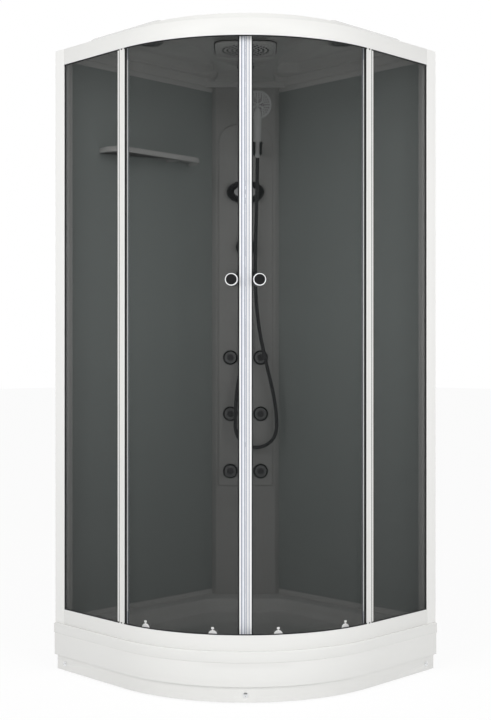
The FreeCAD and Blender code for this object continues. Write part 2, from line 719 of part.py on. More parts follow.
def make_door_knob():
    """A round knob on each side of the glass, drawn together by one bolt."""
    profile = [(9, 0), (9, 2), (7.5, 4), (7.5, 8), (16, 12), (20, 17), (20, 22), (18, 25), (12, 25.4),
               (10, 23.6)]
    outside = turned(profile)
    outside.rotate(V(0, 0, 0), V(1, 0, 0), 90)
    outside.translate(V(0, DOOR_INSET - FRONT_RADIUS, KNOB_HEIGHT))
    inside = turned(profile)
    inside.rotate(V(0, 0, 0), V(1, 0, 0), -90)
    inside.translate(V(0, DOOR_BACK + BEND_GAP - FRONT_RADIUS, KNOB_HEIGHT))
    bolt = Part.makeCylinder(KNOB_BOLT, GLASS + 2, V(0, DOOR_BACK + 1 - FRONT_RADIUS, KNOB_HEIGHT), OUT)
    return at_front(joined([outside, bolt, inside]), KNOB_ANGLE)


def upper_hanger():
    """Clamp over the top edge of the glass, with an arm up past the ledge and the wheel's axle."""
    top = DOOR_TOP + SEAT
    wide, low, high = 2 * HANGER_HALF, DOOR_TOP - CLAMP_DROP, top + BRIDGE
    outer = inset_box(wide, DOOR_INSET - CLAMP_LEG, DOOR_INSET, low, high)
    inner = inset_box(wide, DOOR_BACK + BEND_GAP, DOOR_BACK + CLAMP_LEG, low, high)
    bridge = inset_box(wide, DOOR_INSET - CLAMP_LEG, DOOR_BACK + CLAMP_LEG, top, high)
    arm = inset_box(12, DOOR_INSET, DOOR_INSET + STEM, top, UPPER_AXLE + 5)
    return joined([outer, inner, bridge, arm, axle(UPPER_AXLE, AXLE_RADIUS)])


def axle(height, radius):
    stop = WHEEL_INSET + WHEEL_WIDTH
    return Part.makeCylinder(radius, stop - DOOR_INSET - 1, V(0, stop - FRONT_RADIUS, height), OUT)


def lower_housing():
    """White cap in front of the glass, its boss through the glass and the plate behind it."""
    middle = DOOR_FOOT + CAP_HEIGHT
    face = DOOR_INSET - CAP_DEPTH - FRONT_RADIUS
    cap = Part.makeCylinder(CAP_RADIUS, CAP_DEPTH, V(0, DOOR_INSET - FRONT_RADIUS, middle), OUT)
    rims = [e for e in cap.Edges if abs(e.BoundBox.YMin - face) < 1e-3 and e.BoundBox.YLength < 1e-3]
    cap = cap.makeFillet(CAP_DEPTH / 2, rims)
    wide, foot = 2 * CAP_RADIUS, DOOR_FOOT - 1
    cap = cap.cut(inset_box(wide, 0, DOOR_INSET + 1, middle - 2 * CAP_RADIUS, foot))
    skirt = inset_box(wide, DOOR_INSET - CAP_DEPTH, DOOR_INSET, foot, middle)
    boss = Part.makeCylinder(CAP_BOSS, GLASS + 2, V(0, DOOR_BACK + 1 - FRONT_RADIUS, middle), OUT)
    top = middle + CAP_RADIUS - 1
    plate = inset_box(wide, DOOR_BACK + BEND_GAP, DOOR_BACK + CLAMP_LEG, DOOR_FOOT - 5, top)
    bore = rod_up(BUTTON_ROD + ROLLING_GAP, 0, button_place(), 0, ROOF_LOBE)
    return joined([cap, skirt, boss, plate]).cut(bore)


def button_place():
    return DOOR_INSET - CAP_DEPTH / 2 - FRONT_RADIUS


def make_lower_guide():
    """Release button, the rod down through the housing, and the glide under the ledge."""
    y = button_place()
    bar_top = DOOR_FOOT - 3
    foot = DOOR_FOOT + CAP_HEIGHT + CAP_RADIUS + GUIDE_TRAVEL + SEAT
    top, half = foot + BUTTON_HEIGHT, BUTTON_THICK / 2
    button = box(-BUTTON_HALF, BUTTON_HALF, y - half, y + half, foot, top)
    button = round_level(round_uprights(button, half - 0.1), 1, top)
    rod = rod_up(BUTTON_ROD, 0, y, bar_top - 1, foot + 1)
    inner = DOOR_INSET + STEM
    bar = box(-STEM, STEM, y - BUTTON_ROD, inner - FRONT_RADIUS, bar_top - GUIDE_BAR, bar_top)
    leg = inset_box(2 * STEM, DOOR_INSET, inner, GUIDE_AXLE - 3, bar_top)
    back = V(0, WHEEL_INSET + WHEEL_WIDTH - FRONT_RADIUS, GUIDE_AXLE)
    pin = Part.makeCylinder(GUIDE_PIN, WHEEL_INSET + WHEEL_WIDTH - DOOR_INSET - 1, back, OUT)
    glide = Part.makeCylinder(GUIDE_RADIUS, WHEEL_WIDTH, back, OUT)
    return joined([button, rod, bar, leg, pin, glide])


def make_upper_wheel():
    back = V(0, WHEEL_INSET + WHEEL_WIDTH - FRONT_RADIUS, UPPER_AXLE)
    disc = Part.makeCylinder(WHEEL_RADIUS, WHEEL_WIDTH, back, OUT)
    rims = [e for e in disc.Edges if abs(e.Length - 2 * math.pi * WHEEL_RADIUS) < 0.1]
    disc = disc.makeChamfer(0.8, rims)
    marks = []
    for turn in range(4):
        hole = Part.makeCylinder(1.4, 40, V(6, 20 + WHEEL_INSET - FRONT_RADIUS, UPPER_AXLE), OUT)
        hole.rotate(V(0, 0, UPPER_AXLE), OUT, 90 * turn)
        marks.append(hole)
    bore = axle(UPPER_AXLE, AXLE_RADIUS + AXLE_CLEARANCE)
    bore.translate(V(0, 1, 0))
    return disc.cut(bore).cut(Part.makeCompound(marks))


def door_parts():
    """Every door piece by its name without the side; the left door is the mirror image."""
    brackets = []
    for angle in ROLLER_ANGLES.values():
        brackets.append(at_front(upper_hanger(), angle))
        brackets.append(at_front(lower_housing(), angle))
    parts = {
        "door_glass": make_door_glass(),
        "door_seals": make_door_seals(),
        "door_knob": make_door_knob(),
        "roller_brackets": Part.makeCompound(brackets),
    }
    for end, angle in ROLLER_ANGLES.items():
        parts["upper_wheel_" + end] = at_front(make_upper_wheel(), angle)
        parts["lower_guide_" + end] = at_front(make_lower_guide(), angle)
    return parts


# ================================================================ wall linings, column and shelf
def wall_box(depth0, depth1, along0, along1, low, high):
    """A box on the left wall: depth from the room wall, length from the corner."""
    return box(-HALF + depth0, -HALF + depth1, HALF - along1, HALF - along0, low, high)


def make_left_panel(grow=0.0):
    end = LINING_END - TRIM_SIDE + TRIM_GRIP + grow
    low = TRAY_TOP + TRIM_LOW - TRIM_GRIP - grow
    high = WALL_TOP - TRIM_HIGH + TRIM_GRIP + grow
    return wall_box(PANEL_BACK - grow, PANEL_BACK + PANEL + grow, LINING_START - grow, end, low, high)


def make_left_trims():
    """Three trims round the panel; its fourth edge stands against the column."""
    ring = wall_box(0, LINING, LINING_START, LINING_END, TRAY_TOP, WALL_TOP)
    low, high = TRAY_TOP + TRIM_LOW, WALL_TOP - TRIM_HIGH
    window = wall_box(-1, LINING + 1, LINING_START - 1, LINING_END - TRIM_SIDE, low, high)
    return ring.cut(window).cut(make_left_panel(PANEL_CLEARANCE))


def column_outline(thick):
    """Plan of the column's moulding, in distances along the two walls."""
    face = math.sqrt(2) * (COLUMN_FACE - thick)
    leg = COLUMN_LEG - thick
    side = face - leg
    points = [(0, 0), (0, leg), (side, leg), (leg, side), (leg, 0)]
    return polygon([V(-HALF + x, HALF - s, 0) for x, s in points])


def column_body(thick, low, high):
    body = prism(column_outline(thick), low, high)
    return round_uprights(body, COLUMN_ROUND - thick, front_corner)


def front_corner(edge):
    place = edge.CenterOfMass
    return place.x > -HALF + 5 and place.y < HALF - 5


def raised_panel(shrink, v0, v1):
    """Upright panel with rounded top corners on the column's face."""
    half, low, high = RAISED_HALF - shrink, RAISED_FOOT + shrink, RAISED_TOP - shrink
    plate = corner_box(-half, half, v0, v1, low, high)
    tops = [e for e in plate.Edges if e.BoundBox.ZMin > high - 1 and e.BoundBox.XLength < 1e-6]
    return plate.makeFillet(RAISED_ROUND - shrink, tops)


def make_corner_column():
    shell = column_body(0, TRAY_TOP, COLUMN_TOP).cut(column_body(SKIN, TRAY_TOP - 1, COLUMN_TOP + 1))
    raised = raised_panel(0, COLUMN_FACE - SKIN, MOUNT_FACE)
    rim = [e for e in raised.Edges if abs(e.BoundBox.YMin + MOUNT_FACE) < 1e-6 and e.BoundBox.YLength < 1e-6]
    raised = raised.makeChamfer(3, rim)
    hollow = raised_panel(SKIN, COLUMN_FACE - 2 * SKIN, MOUNT_FACE - SKIN)
    column = shell.fuse(at_corner(raised)).cut(at_corner(hollow))
    near, far = COLUMN_FACE - 4 * SKIN, MOUNT_FACE + 1
    holes = [rod_out(SPINDLE + 1, 0, near, far, z) for z in (DIVERTER_HEIGHT, MIXER_HEIGHT)]
    holes += [rod_out(JET_SHANK + HOLE_GAP, u, near, far, z) for u, z in jet_places()]
    holes.append(rod_out(OUTLET_SHANK + HOLE_GAP, 0, near, far, OUTLET_HEIGHT))
    holes.append(rod_out(STEAM_SHANK + HOLE_GAP, 0, near, far, STEAM_HEIGHT))
    holes.append(rod_out(HOLDER_SHANK + HOLE_GAP, HOLDER_SIDE, near, far, HOLDER_HEIGHT))
    holes.append(rod_out(PANEL_SHANK + HOLE_GAP, 0, near, far, PANEL_HEIGHT))
    return column.cut(at_corner(Part.makeCompound(holes)))


def shelf_block(shrink, low, high):
    back, front = LINING - 2, LINING - 2 + SHELF_REACH - shrink
    block = wall_box(back, front, SHELF_START + shrink, SHELF_END - shrink, low, high)
    round_ends = [e for e in block.Edges if upright(e) and e.CenterOfMass.x > -HALF + LINING + 1]
    return block.makeFillet(SHELF_ROUND - shrink, round_ends)


def make_shelf():
    """Moulded shelf with a deep front band, a sunk top and two ribs below."""
    low = SHELF_TOP - SHELF_BAND
    block = shelf_block(0, low, SHELF_TOP)
    block = block.cut(shelf_block(3, low - 1, SHELF_TOP - 7))
    block = block.cut(shelf_block(5, SHELF_TOP - 3, SHELF_TOP + 1))
    reach = LINING + SHELF_REACH - 25
    ribs = [wall_box(LINING - 2, reach, at - 2, at + 2, low + 1, SHELF_TOP - 5)
            for at in (SHELF_START + SHELF_RIB, SHELF_END - SHELF_RIB)]
    shelf = joined([block] + ribs)
    return shelf.cut(wall_box(0, PANEL_BACK + PANEL + SEAT / 3, 0, SIDE, 0, WALL_TOP))


# ================================================================ fittings on the column
def jet_places():
    return [(side * JET_SIDE, z) for z in JET_HEIGHTS for side in (-1, 1)]


def make_jet_flanges():
    flanges = []
    head = MOUNT_FACE
    for u, z in jet_places():
        profile = [(JET_SHANK, -20), (JET_SHANK, 0), (JET_RADIUS, 0), (JET_RADIUS, 4), (JET_RADIUS - 2, 6.5),
                   (JET_RADIUS - 5, 7), (JET_RADIUS - 7, 10), (JET_BALL, 11)]
        body = turned_out(profile, u, head, z)
        socket = Part.makeSphere(JET_BALL + SEAT, V(u, -JET_CENTRE, z))
        nut = turned_out([(24, -20), (24, -SKIN)], u, head, z).cut(rod_out(JET_SHANK - 0.5, u, 140, 200, z))
        mouth = rod_out(JET_BALL - 2, u, JET_CENTRE, JET_CENTRE + 40, z)
        feed = rod_out(8, u, head - 30, JET_CENTRE, z)
        flanges.append(joined([body, nut]).cut(socket).cut(mouth).cut(feed))
    return at_corner(Part.makeCompound(flanges))


def make_jet_nozzle(u, z):
    ball = Part.makeSphere(JET_BALL, V(u, -JET_CENTRE, z))
    ball = ball.common(corner_box(u - 30, u + 30, JET_CENTRE - 9, JET_CENTRE + 12, z - 30, z + 30))
    front = JET_CENTRE + 12
    rose = turned_out([(8.6, -1), (8.6, 0), (7.6, 1.2), (4, 1.6)], u, front, z)
    nozzle = ball.fuse(rose)
    holes = [rod_out(1.1, u + 5 * math.cos(turn), front - 4, front + 4, z + 5 * math.sin(turn))
             for turn in (math.radians(60 * k) for k in range(6))]
    holes.append(rod_out(4, u, JET_CENTRE - 12, front - 3, z))
    return at_corner(nozzle.cut(Part.makeCompound(holes)))


def make_control_panel():
    base = MOUNT_FACE
    rim = oval(*PANEL_OVAL, 0, PANEL_HEIGHT, base, base + PANEL_DEPTH)
    face = base + PANEL_DEPTH
    edge = [e for e in rim.Edges if e.BoundBox.YLength < 1e-3 and abs(e.BoundBox.YMin + face) < 1e-3]
    rim = rim.makeFillet(7, edge)
    wide, high = SCREEN_OVAL
    recess = oval(wide + SCREEN_GAP, high + SCREEN_GAP, 0, PANEL_HEIGHT, face - 2, face + 5)
    screen = oval(wide, high, 0, PANEL_HEIGHT, face - 3, face - 0.5)
    cable = rod_out(PANEL_SHANK, 0, base - 12, base + 2, PANEL_HEIGHT)
    return at_corner(joined([rim.cut(recess), screen, cable]))


def make_knob(height):
    """Round knob with finger flutes, pressed on the spindle that turns the valve behind it."""
    profile = [(KNOB_RADIUS, 1), (KNOB_RADIUS, 9), (KNOB_RADIUS - 6, 12), (KNOB_RADIUS - 8, 15),
               (KNOB_RADIUS - 6, KNOB_DEPTH - 6), (KNOB_RADIUS - 8, KNOB_DEPTH - 1.5),
               (KNOB_RADIUS - 14, KNOB_DEPTH)]
    knob = turned_out(profile, 0, MOUNT_FACE, height)
    flutes = []
    for turn in range(8):
        flute = rod_out(5, KNOB_RADIUS - 1, MOUNT_FACE + 13, MOUNT_FACE + KNOB_DEPTH + 1, height)
        flute.rotate(V(0, 0, height), OUT, 45 * turn + 22.5)
        flutes.append(flute)
    spindle = rod_out(SPINDLE, 0, MIXER_FRONT - SPINDLE_HOLD, MOUNT_FACE + 5, height)
    return at_corner(knob.cut(Part.makeCompound(flutes)).fuse(spindle))


def make_mixer_body():
    """Brass body behind the column: two valves with their bonnets and the hot and cold tails."""
    low, high = MIXER_HEIGHT - MIXER_END, DIVERTER_HEIGHT + MIXER_END
    block = corner_box(-MIXER_HALF, MIXER_HALF, MIXER_BACK, MIXER_FRONT, low, high)
    block = block.makeFillet(MIXER_ROUND, [e for e in block.Edges if e.BoundBox.YLength > 1])
    valves = (DIVERTER_HEIGHT, MIXER_HEIGHT)
    body = joined([block] + [rod_out(BONNET, 0, MIXER_FRONT - 1, MOUNT_FACE - SKIN, z) for z in valves])
    for z in valves:
        body = body.cut(rod_out(SPINDLE + AXLE_CLEARANCE, 0, MIXER_FRONT - SPINDLE_HOLD - 1, MOUNT_FACE, z))
    foot = low - INLET_LENGTH
    for side in (-1, 1):
        u = side * INLET_SIDE
        body = body.fuse(rod_up(INLET_RADIUS, u, -INLET_V, foot, low + 3))
        body = body.cut(rod_up(INLET_BORE, u, -INLET_V, foot - 1, low + 1))
    return at_corner(body.removeSplitter())


def make_hose_outlet():
    """Wall elbow that turns the water down into the hose."""
    rose = [(OUTLET_RADIUS, 0), (OUTLET_RADIUS, 4), (OUTLET_RADIUS - 4, 7), (OUTLET_SHANK + 2, 9)]
    plate = turned_out(rose, 0, MOUNT_FACE, OUTLET_HEIGHT)
    shank = rod_out(OUTLET_SHANK, 0, MOUNT_FACE - 22, OUTLET_REACH, OUTLET_HEIGHT)
    knee = Part.makeSphere(OUTLET_SHANK + 1, V(0, -OUTLET_REACH, OUTLET_HEIGHT))
    tail = rod_up(HOSE / 2 + 2.5, 0, -OUTLET_REACH, OUTLET_HEIGHT - 30, OUTLET_HEIGHT)
    wall = HOSE / 2
    nut = turned([(wall + 1, -OUTLET_DROP), (wall + 1.5, 2 - OUTLET_DROP), (wall + 3.5, 8 - OUTLET_DROP),
                  (wall + 3.5, -30)])
    nut.translate(V(0, -OUTLET_REACH, OUTLET_HEIGHT))
    return at_corner(joined([plate, shank, knee, tail, nut]))


def make_steam_outlet():
    """Round chrome mouth over the steam pipe, with a slot that throws the steam down."""
    profile = [(STEAM_SHANK, -24), (STEAM_SHANK, 0), (STEAM_RADIUS, 0), (STEAM_RADIUS, 5),
               (STEAM_RADIUS - 3, 20), (STEAM_RADIUS - 6, 23)]
    mouth = turned_out(profile, 0, COLUMN_FACE, STEAM_HEIGHT)
    bore = rod_out(STEAM_SHANK - 2.5, 0, COLUMN_FACE - 30, COLUMN_FACE + 14, STEAM_HEIGHT)
    slot = corner_box(-9, 9, COLUMN_FACE + 6, COLUMN_FACE + 13, STEAM_HEIGHT - 30, STEAM_HEIGHT)
    return at_corner(mouth.cut(bore).cut(slot))


def make_steam_generator():
    half, near, far = GENERATOR_HALF, GENERATOR_BACK, GENERATOR_FRONT
    foot, top = GENERATOR_FOOT, GENERATOR_TOP
    case = corner_box(-half, half, near, far, foot, top)
    case = case.makeFillet(10, [e for e in case.Edges if upright(e)])
    pipe = STEAM_SHANK - 1
    neck = rod_up(pipe, 0, -(COLUMN_FACE - 36), top - 2, STEAM_HEIGHT + pipe)
    spout = rod_out(pipe, 0, COLUMN_FACE - 36 - pipe, COLUMN_FACE - 24, STEAM_HEIGHT)
    feet = corner_box(-half, half, near, near + 3, TRAY_TOP, foot + 2)
    stand = corner_box(-half, half, near, far, TRAY_TOP, TRAY_TOP + 3)
    return at_corner(joined([case, neck, spout, feet, stand]))


def tube_run(points, radius):
    """Straight pipes with a ball at each elbow."""
    solids = []
    for a, b in zip(points, points[1:]):
        solids.append(Part.makeCylinder(radius, (b - a).Length, a, b - a))
    solids += [Part.makeSphere(radius, p) for p in points[1:-1]]
    return solids


def make_pipework():
    """Manifolds to the jets, a feed to the hose outlet and the riser to the overhead shower."""
    foot = JET_HEIGHTS[-1]
    start = MIXER_HEIGHT - MIXER_END
    solids = []
    for side in (-1, 1):
        u = side * JET_SIDE
        solids += tube_run([V(side * 12, -MANIFOLD_V, start), V(side * 12, -MANIFOLD_V, OUTLET_HEIGHT + 10),
                            V(u, -MANIFOLD_V, OUTLET_HEIGHT - 35), V(u, -MANIFOLD_V, foot)], PIPE)
        for z in JET_HEIGHTS:
            solids.append(rod_out(PIPE, u, MANIFOLD_V, MOUNT_FACE - 20, z))
    solids += tube_run([V(12, -MANIFOLD_V, OUTLET_HEIGHT + 60), V(0, -MANIFOLD_V, OUTLET_HEIGHT),
                        V(0, 22 - MOUNT_FACE, OUTLET_HEIGHT)], PIPE)
    riser_top = PLATEAU + SKIN + PIPE + 2
    rain = ARC_REACH + RAIN_FORWARD
    port = DIVERTER_HEIGHT + 15
    solids += tube_run([V(0, -MIXER_BACK, port), V(0, -RISER_V, port), V(0, -RISER_V, riser_top),
                        V(0, -rain, riser_top), V(0, -rain, PLATEAU + SKIN + 2)], PIPE)
    return at_corner(joined(solids))


# ---------------------------------------------------------------- hand shower, holder and hose
def leaning(shape):
    """From the hand shower's own frame, foot at the origin and face to -y, to the corner's frame."""
    placed = shape.copy()
    placed.rotate(V(0, 0, 0), V(1, 0, 0), HANDSET_LEAN)
    placed.translate(HANDSET_FOOT)
    return placed


def make_hand_shower():
    handle = turned(HANDLE)
    head = turned([(HEAD_RADIUS - 16, -16), (HEAD_RADIUS - 3, -8), (HEAD_RADIUS, -3), (HEAD_RADIUS, 2),
                   (HEAD_RADIUS - 2, 5), (HEAD_RADIUS - 7, 6)])
    head.rotate(V(0, 0, 0), V(1, 0, 0), 90)
    head.translate(V(0, -4, HANDSET_REACH))
    neck = Part.makeCone(16, 12, 34, V(0, 0, 148), V(0, 0.12, 1))
    shower = joined([handle, neck, head])
    dimples = []
    for turn in range(6):
        dimple = Part.makeCylinder(3.2, 2, V(18, -8.6, HANDSET_REACH), OUT)
        dimple.rotate(V(0, 0, HANDSET_REACH), OUT, 60 * turn)
        dimples.append(dimple)
    return at_corner(leaning(shower.cut(Part.makeCompound(dimples))))


def cradle_bore():
    """The handle's cone, one clearance wider."""
    cone = [(radius + SEAT, height) for radius, height in HANDLE[2:5]]
    return turned([(cone[0][0], CRADLE_LOW - 6)] + cone)


def make_shower_cradle():
    """Forked cradle that holds the handle's cone and tilts on the bracket's pin."""
    ring = turned([(16, CRADLE_LOW), (19, CRADLE_HIGH - 6), (18, CRADLE_HIGH)])
    ring = ring.cut(cradle_bore()).cut(box(-CRADLE_SLOT, CRADLE_SLOT, -40, 0, 0, 80))
    back, up = pivot_place()
    knuckle = Part.makeCylinder(KNUCKLE, 2 * KNUCKLE_HALF, V(-KNUCKLE_HALF, back, up), V(1, 0, 0))
    web = box(1 - KNUCKLE_HALF, KNUCKLE_HALF - 1, 14, back, up - 7, up + 7)
    pin_hole = Part.makeCylinder(TILT_PIN + AXLE_CLEARANCE, 40, V(-20, back, up), V(1, 0, 0))
    return at_corner(leaning(joined([ring, knuckle, web.cut(cradle_bore())]).cut(pin_hole)))


def pivot_place():
    """The tilt pin's place in the hand shower's own frame: behind its axis, and up from its foot."""
    y, z = -HOLDER_PIVOT - HANDSET_FOOT.y, HOLDER_HEIGHT - HANDSET_FOOT.z
    turn = math.radians(-HANDSET_LEAN)
    return y * math.cos(turn) - z * math.sin(turn), y * math.sin(turn) + z * math.cos(turn)


def make_holder_bracket():
    """Rosette on the column with two ears and the tilt pin."""
    rose = turned_out([(19, 0), (19, 3), (15, 7), (11, 9)], HOLDER_SIDE, MOUNT_FACE, HOLDER_HEIGHT)
    shank = rod_out(HOLDER_SHANK, HOLDER_SIDE, MOUNT_FACE - 20, MOUNT_FACE + 2, HOLDER_HEIGHT)
    ears = []
    low, high = HOLDER_HEIGHT - KNUCKLE, HOLDER_HEIGHT + KNUCKLE
    thick = EAR_OUT - KNUCKLE_HALF - SEAT
    for start in (HOLDER_SIDE - EAR_OUT, HOLDER_SIDE + EAR_OUT - thick):
        ear = corner_box(start, start + thick, MOUNT_FACE + 2, HOLDER_PIVOT, low, high)
        cap = Part.makeCylinder(KNUCKLE, thick, V(start, -HOLDER_PIVOT, HOLDER_HEIGHT), V(1, 0, 0))
        ears.append(ear.fuse(cap))
    pin_start = V(HOLDER_SIDE - EAR_OUT, -HOLDER_PIVOT, HOLDER_HEIGHT)
    pin = Part.makeCylinder(TILT_PIN, 2 * EAR_OUT, pin_start, V(1, 0, 0))
    return at_corner(joined([rose, shank, pin] + ears))


# Route of the hose in the corner's frame, as (right, out of the corner, above the outlet's axis),
# from the hand shower's foot down in front of the fittings and back up to the outlet. The first
# point and the last are the two fittings' faces.
HOSE_ROUTE = [
    (43.5, 236, 600), (43.5, 217.48, 543), (41, 215, 435), (37, 220, 305), (35, 222, 180),
    (39, 221, 65), (52, 216, -40), (74, 211, -145), (98, 209, -240), (113, 209, -325),
    (116, 210, -407), (87, 211, -448), (39, 212, -464), (-9, 213, -448), (-38, 213, -407),
    (-37, 212, -325), (-31, 208, -240), (-15, 202, -162), (0, 200, -103), (0, 200, -52),
]


def make_shower_hose():
    """Tube of straight runs joined by tangent arcs."""
    points = [V(u, -v, OUTLET_HEIGHT + z) for u, v, z in HOSE_ROUTE]
    edges = []
    radii = []
    start = points[0]
    for before, corner, after in zip(points, points[1:], points[2:]):
        back, ahead = before - corner, after - corner
        shorter = min(back.Length, ahead.Length)
        back.normalize()
        ahead.normalize()
        turn = math.pi - back.getAngle(ahead)
        radius = 0.45 * shorter / math.tan(turn / 2)
        bisector = back + ahead
        bisector.normalize()
        middle = corner + bisector * (radius / math.cos(turn / 2) - radius)
        entry, leave = corner + back * (0.45 * shorter), corner + ahead * (0.45 * shorter)
        edges += [line(start, entry), Part.Arc(entry, middle, leave).toShape()]
        start = leave
        radii.append(radius)
    edges.append(line(start, points[-1]))
    path = Part.Wire(edges)
    first = points[1] - points[0]
    section = Part.Wire([Part.makeCircle(HOSE / 2, points[0], first)])
    tube = path.makePipeShell([section], True, False)
    length = sum(e.Length for e in edges)
    area = math.pi * HOSE * HOSE / 4
    print("hose length %.0f, radii %s" % (length, " ".join("%.0f" % r for r in radii)))
    print("hose volume %.0f, section times length %.0f" % (tube.Volume, area * length))
    return at_corner(tube)


# ================================================================ roof
def spine(grow, low, high):
    """The waisted spine along the diagonal, between two arcs that bow towards it."""
    middle = SPINE_WAIST + SPINE_RADIUS
    slab = box(-middle, middle, -SIDE, SIDE, low, high)
    for side in (-1, 1):
        slab = slab.cut(rod_up(SPINE_RADIUS - grow, side * middle, -SPINE_FORWARD, low - 1, high + 1))
    return at_front(slab)


def lobes(grow, low, high):
    region = prism(plan(LOBE_INSET - grow, LOBE_WALL - grow), low, high)
    split = region.cut(spine(14 - grow, low - 1, high + 1))
    split = split.cut(at_corner(corner_box(-SIDE, SIDE, 0, LOBE_CORNER - grow, low - 1, high + 1)))
    rounded = []
    for solid in split.Solids:
        soft = round_uprights(solid, LOBE_ROUND + grow, lambda e: not on_arc_end(e))
        rounded.append(round_level(soft, LOBE_CROWN + grow, high))
    return rounded


def make_roof():
    """Moulded roof: a shoulder all round, a lobe each side and the sunk spine between them."""
    edge = prism(plan(ROOF_INSET, 0), FRONT_TOP, FRONT_TOP + ROOF_LIP)
    bow_middle = ROOF_INSET - FRONT_RADIUS + SHOULDER_ROUND
    bow = at_front(rod_up(SHOULDER_ROUND, 0, bow_middle, FRONT_TOP, ROOF_SHOULDER))
    shoulder = prism(plan(ROOF_INSET, 0), FRONT_TOP, ROOF_SHOULDER).common(bow)
    body = joined([edge, shoulder, prism(plan(SHOULDER_INSET, 0), FRONT_TOP, ROOF_SHOULDER)])
    body = body.fuse(prism(plan(RAIL_BACK + 4, 0), WALL_TOP, FRONT_TOP + 1))
    channel = spine(-12, PLATEAU + SKIN, ROOF_LOBE + 1).common(prism(plan(CHANNEL_STOP, 0), 0, ROOF_LOBE + 1))
    column_seat = column_body(0, WALL_TOP - 5, WALL_TOP + 1)
    cavity = prism(plan(RAIL_BACK + 4 + SKIN, LINING + SKIN), WALL_TOP - 10, PLATEAU)
    beside_spine = prism(plan(RAIL_BACK + 4 + SKIN, LINING + SKIN), PLATEAU - 1, ROOF_SHOULDER - SKIN)
    near_column = at_corner(corner_box(-SIDE, SIDE, 0, COLUMN_FACE + 20, 0, ROOF_LOBE))
    side_rise = beside_spine.cut(spine(0, PLATEAU - 2, ROOF_SHOULDER)).cut(near_column)
    body = joined([body] + lobes(SKIN, ROOF_SHOULDER - 2, ROOF_LOBE))
    body = body.cut(channel).cut(cavity).cut(side_rise)
    for lobe in lobes(0, PLATEAU + 2, ROOF_LOBE - SKIN):
        body = body.cut(lobe)
    lip_reach = COLUMN_FACE + 12
    lip = at_corner(corner_box(-SIDE, SIDE, 0, lip_reach, COLUMN_TOP, PLATEAU + 1))
    lip = lip.common(prism(plan(RAIL_BACK, 0), 0, ROOF_LOBE))
    hollow = at_corner(corner_box(-SIDE, SIDE, 0, lip_reach - SKIN, COLUMN_TOP + SKIN, PLATEAU + SKIN))
    body = body.fuse(lip.cut(hollow))
    trims = wall_box(-1, LINING + SEAT, LINING_START - SEAT, SIDE, 0, WALL_TOP)
    body = body.cut(trims).cut(mirrored(trims))
    low, high = COLUMN_TOP - 1, ROOF_LOBE + 1
    holes = [
        rod_up(RAIN_SHANK + 1, 0, -(ARC_REACH + RAIN_FORWARD), low, high),
        rod_up(LAMP_SHANK + SEAT, 0, -(ARC_REACH + LAMP_FORWARD), low, high),
        rod_up(PIPE + 1, 0, -RISER_V, low, high),
    ]
    body = body.cut(at_corner(Part.makeCompound(holes)))
    for side in (-1, 1):
        hole = rod_up(GRILLE_RADIUS - 6, side * GRILLE_PLACE[0], -GRILLE_PLACE[1], low, high)
        body = body.cut(at_front(hole))
    return body.removeSplitter()


def make_rain_shower():
    half = RAIN_SIDE / 2
    top = PLATEAU
    plate = box(-half, half, -RAIN_FORWARD - half, -RAIN_FORWARD + half, top - RAIN_THICK, top)
    plate = round_uprights(plate, RAIN_ROUND)
    plate = round_level(plate, 3, top - RAIN_THICK)
    solids = [plate, rod_up(RAIN_SHANK, 0, -RAIN_FORWARD, top - 1, top + SKIN + 2)]
    for ring in range(1, RAIN_RINGS + 1):
        reach = RAIN_PITCH * ring
        for k in range(6 * ring):
            turn = 2 * math.pi * k / (6 * ring)
            x, y = reach * math.cos(turn), reach * math.sin(turn) - RAIN_FORWARD
            solids.append(rod_up(2, x, y, top - RAIN_THICK - 2, top - RAIN_THICK + 1))
    return at_front(joined(solids))


def make_ceiling_lamp():
    lamp = turned([(LAMP_RADIUS - 6, PLATEAU - 6), (LAMP_RADIUS - 1, PLATEAU - 4), (LAMP_RADIUS, PLATEAU),
                   (LAMP_SHANK, PLATEAU), (LAMP_SHANK, PLATEAU + SKIN + 1)])
    lamp.translate(V(0, -LAMP_FORWARD, 0))
    return at_front(lamp)


def grille(height):
    """Round slatted grille under a lobe's ceiling with its collar up through the hole."""
    ring = turned([(GRILLE_RADIUS - 3, height - 5), (GRILLE_RADIUS, height - 2), (GRILLE_RADIUS, height)])
    ring = ring.cut(rod_up(GRILLE_RADIUS - 9, 0, 0, height - 6, height + 1))
    slats = [ring]
    reach = GRILLE_RADIUS - 7
    for k in range(-3, 4):
        half = math.sqrt(reach * reach - (11 * k) ** 2)
        slats.append(box(-half, half, 11 * k - 2, 11 * k + 2, height - 4, height - 1.5))
    collar = rod_up(GRILLE_RADIUS - 6 - SEAT, 0, 0, height - 2, height + FAN_CASE).cut(
        rod_up(GRILLE_RADIUS - 9, 0, 0, height - 3, height + FAN_CASE + 1))
    return joined(slats + [collar])


def make_ceiling_grilles():
    ceiling = ROOF_LOBE - SKIN
    solids = []
    top = ceiling + FAN_CASE
    reach = GRILLE_RADIUS - 8
    fan_carrier = [
        box(-reach, reach, -1.5, 1.5, top - 3, top),
        box(-1.5, 1.5, -reach, reach, top - 3, top),
        rod_up(13, 0, 0, top - 8, top),
        rod_up(FAN_SPINDLE, 0, 0, ceiling + 4, top),
    ]
    cone_rim = reach - 0.5
    speaker = turned([(14, ceiling + 8), (cone_rim - 1.5, ceiling + 4), (cone_rim, ceiling + 4),
                      (cone_rim, ceiling + 6), (22, ceiling + 18), (22, top)])
    for side, inside in ((-1, fan_carrier), (1, [speaker])):
        unit = joined([grille(ceiling)] + inside)
        unit.translate(V(side * GRILLE_PLACE[0], -GRILLE_PLACE[1], 0))
        solids.append(unit)
    return at_front(Part.makeCompound(solids))


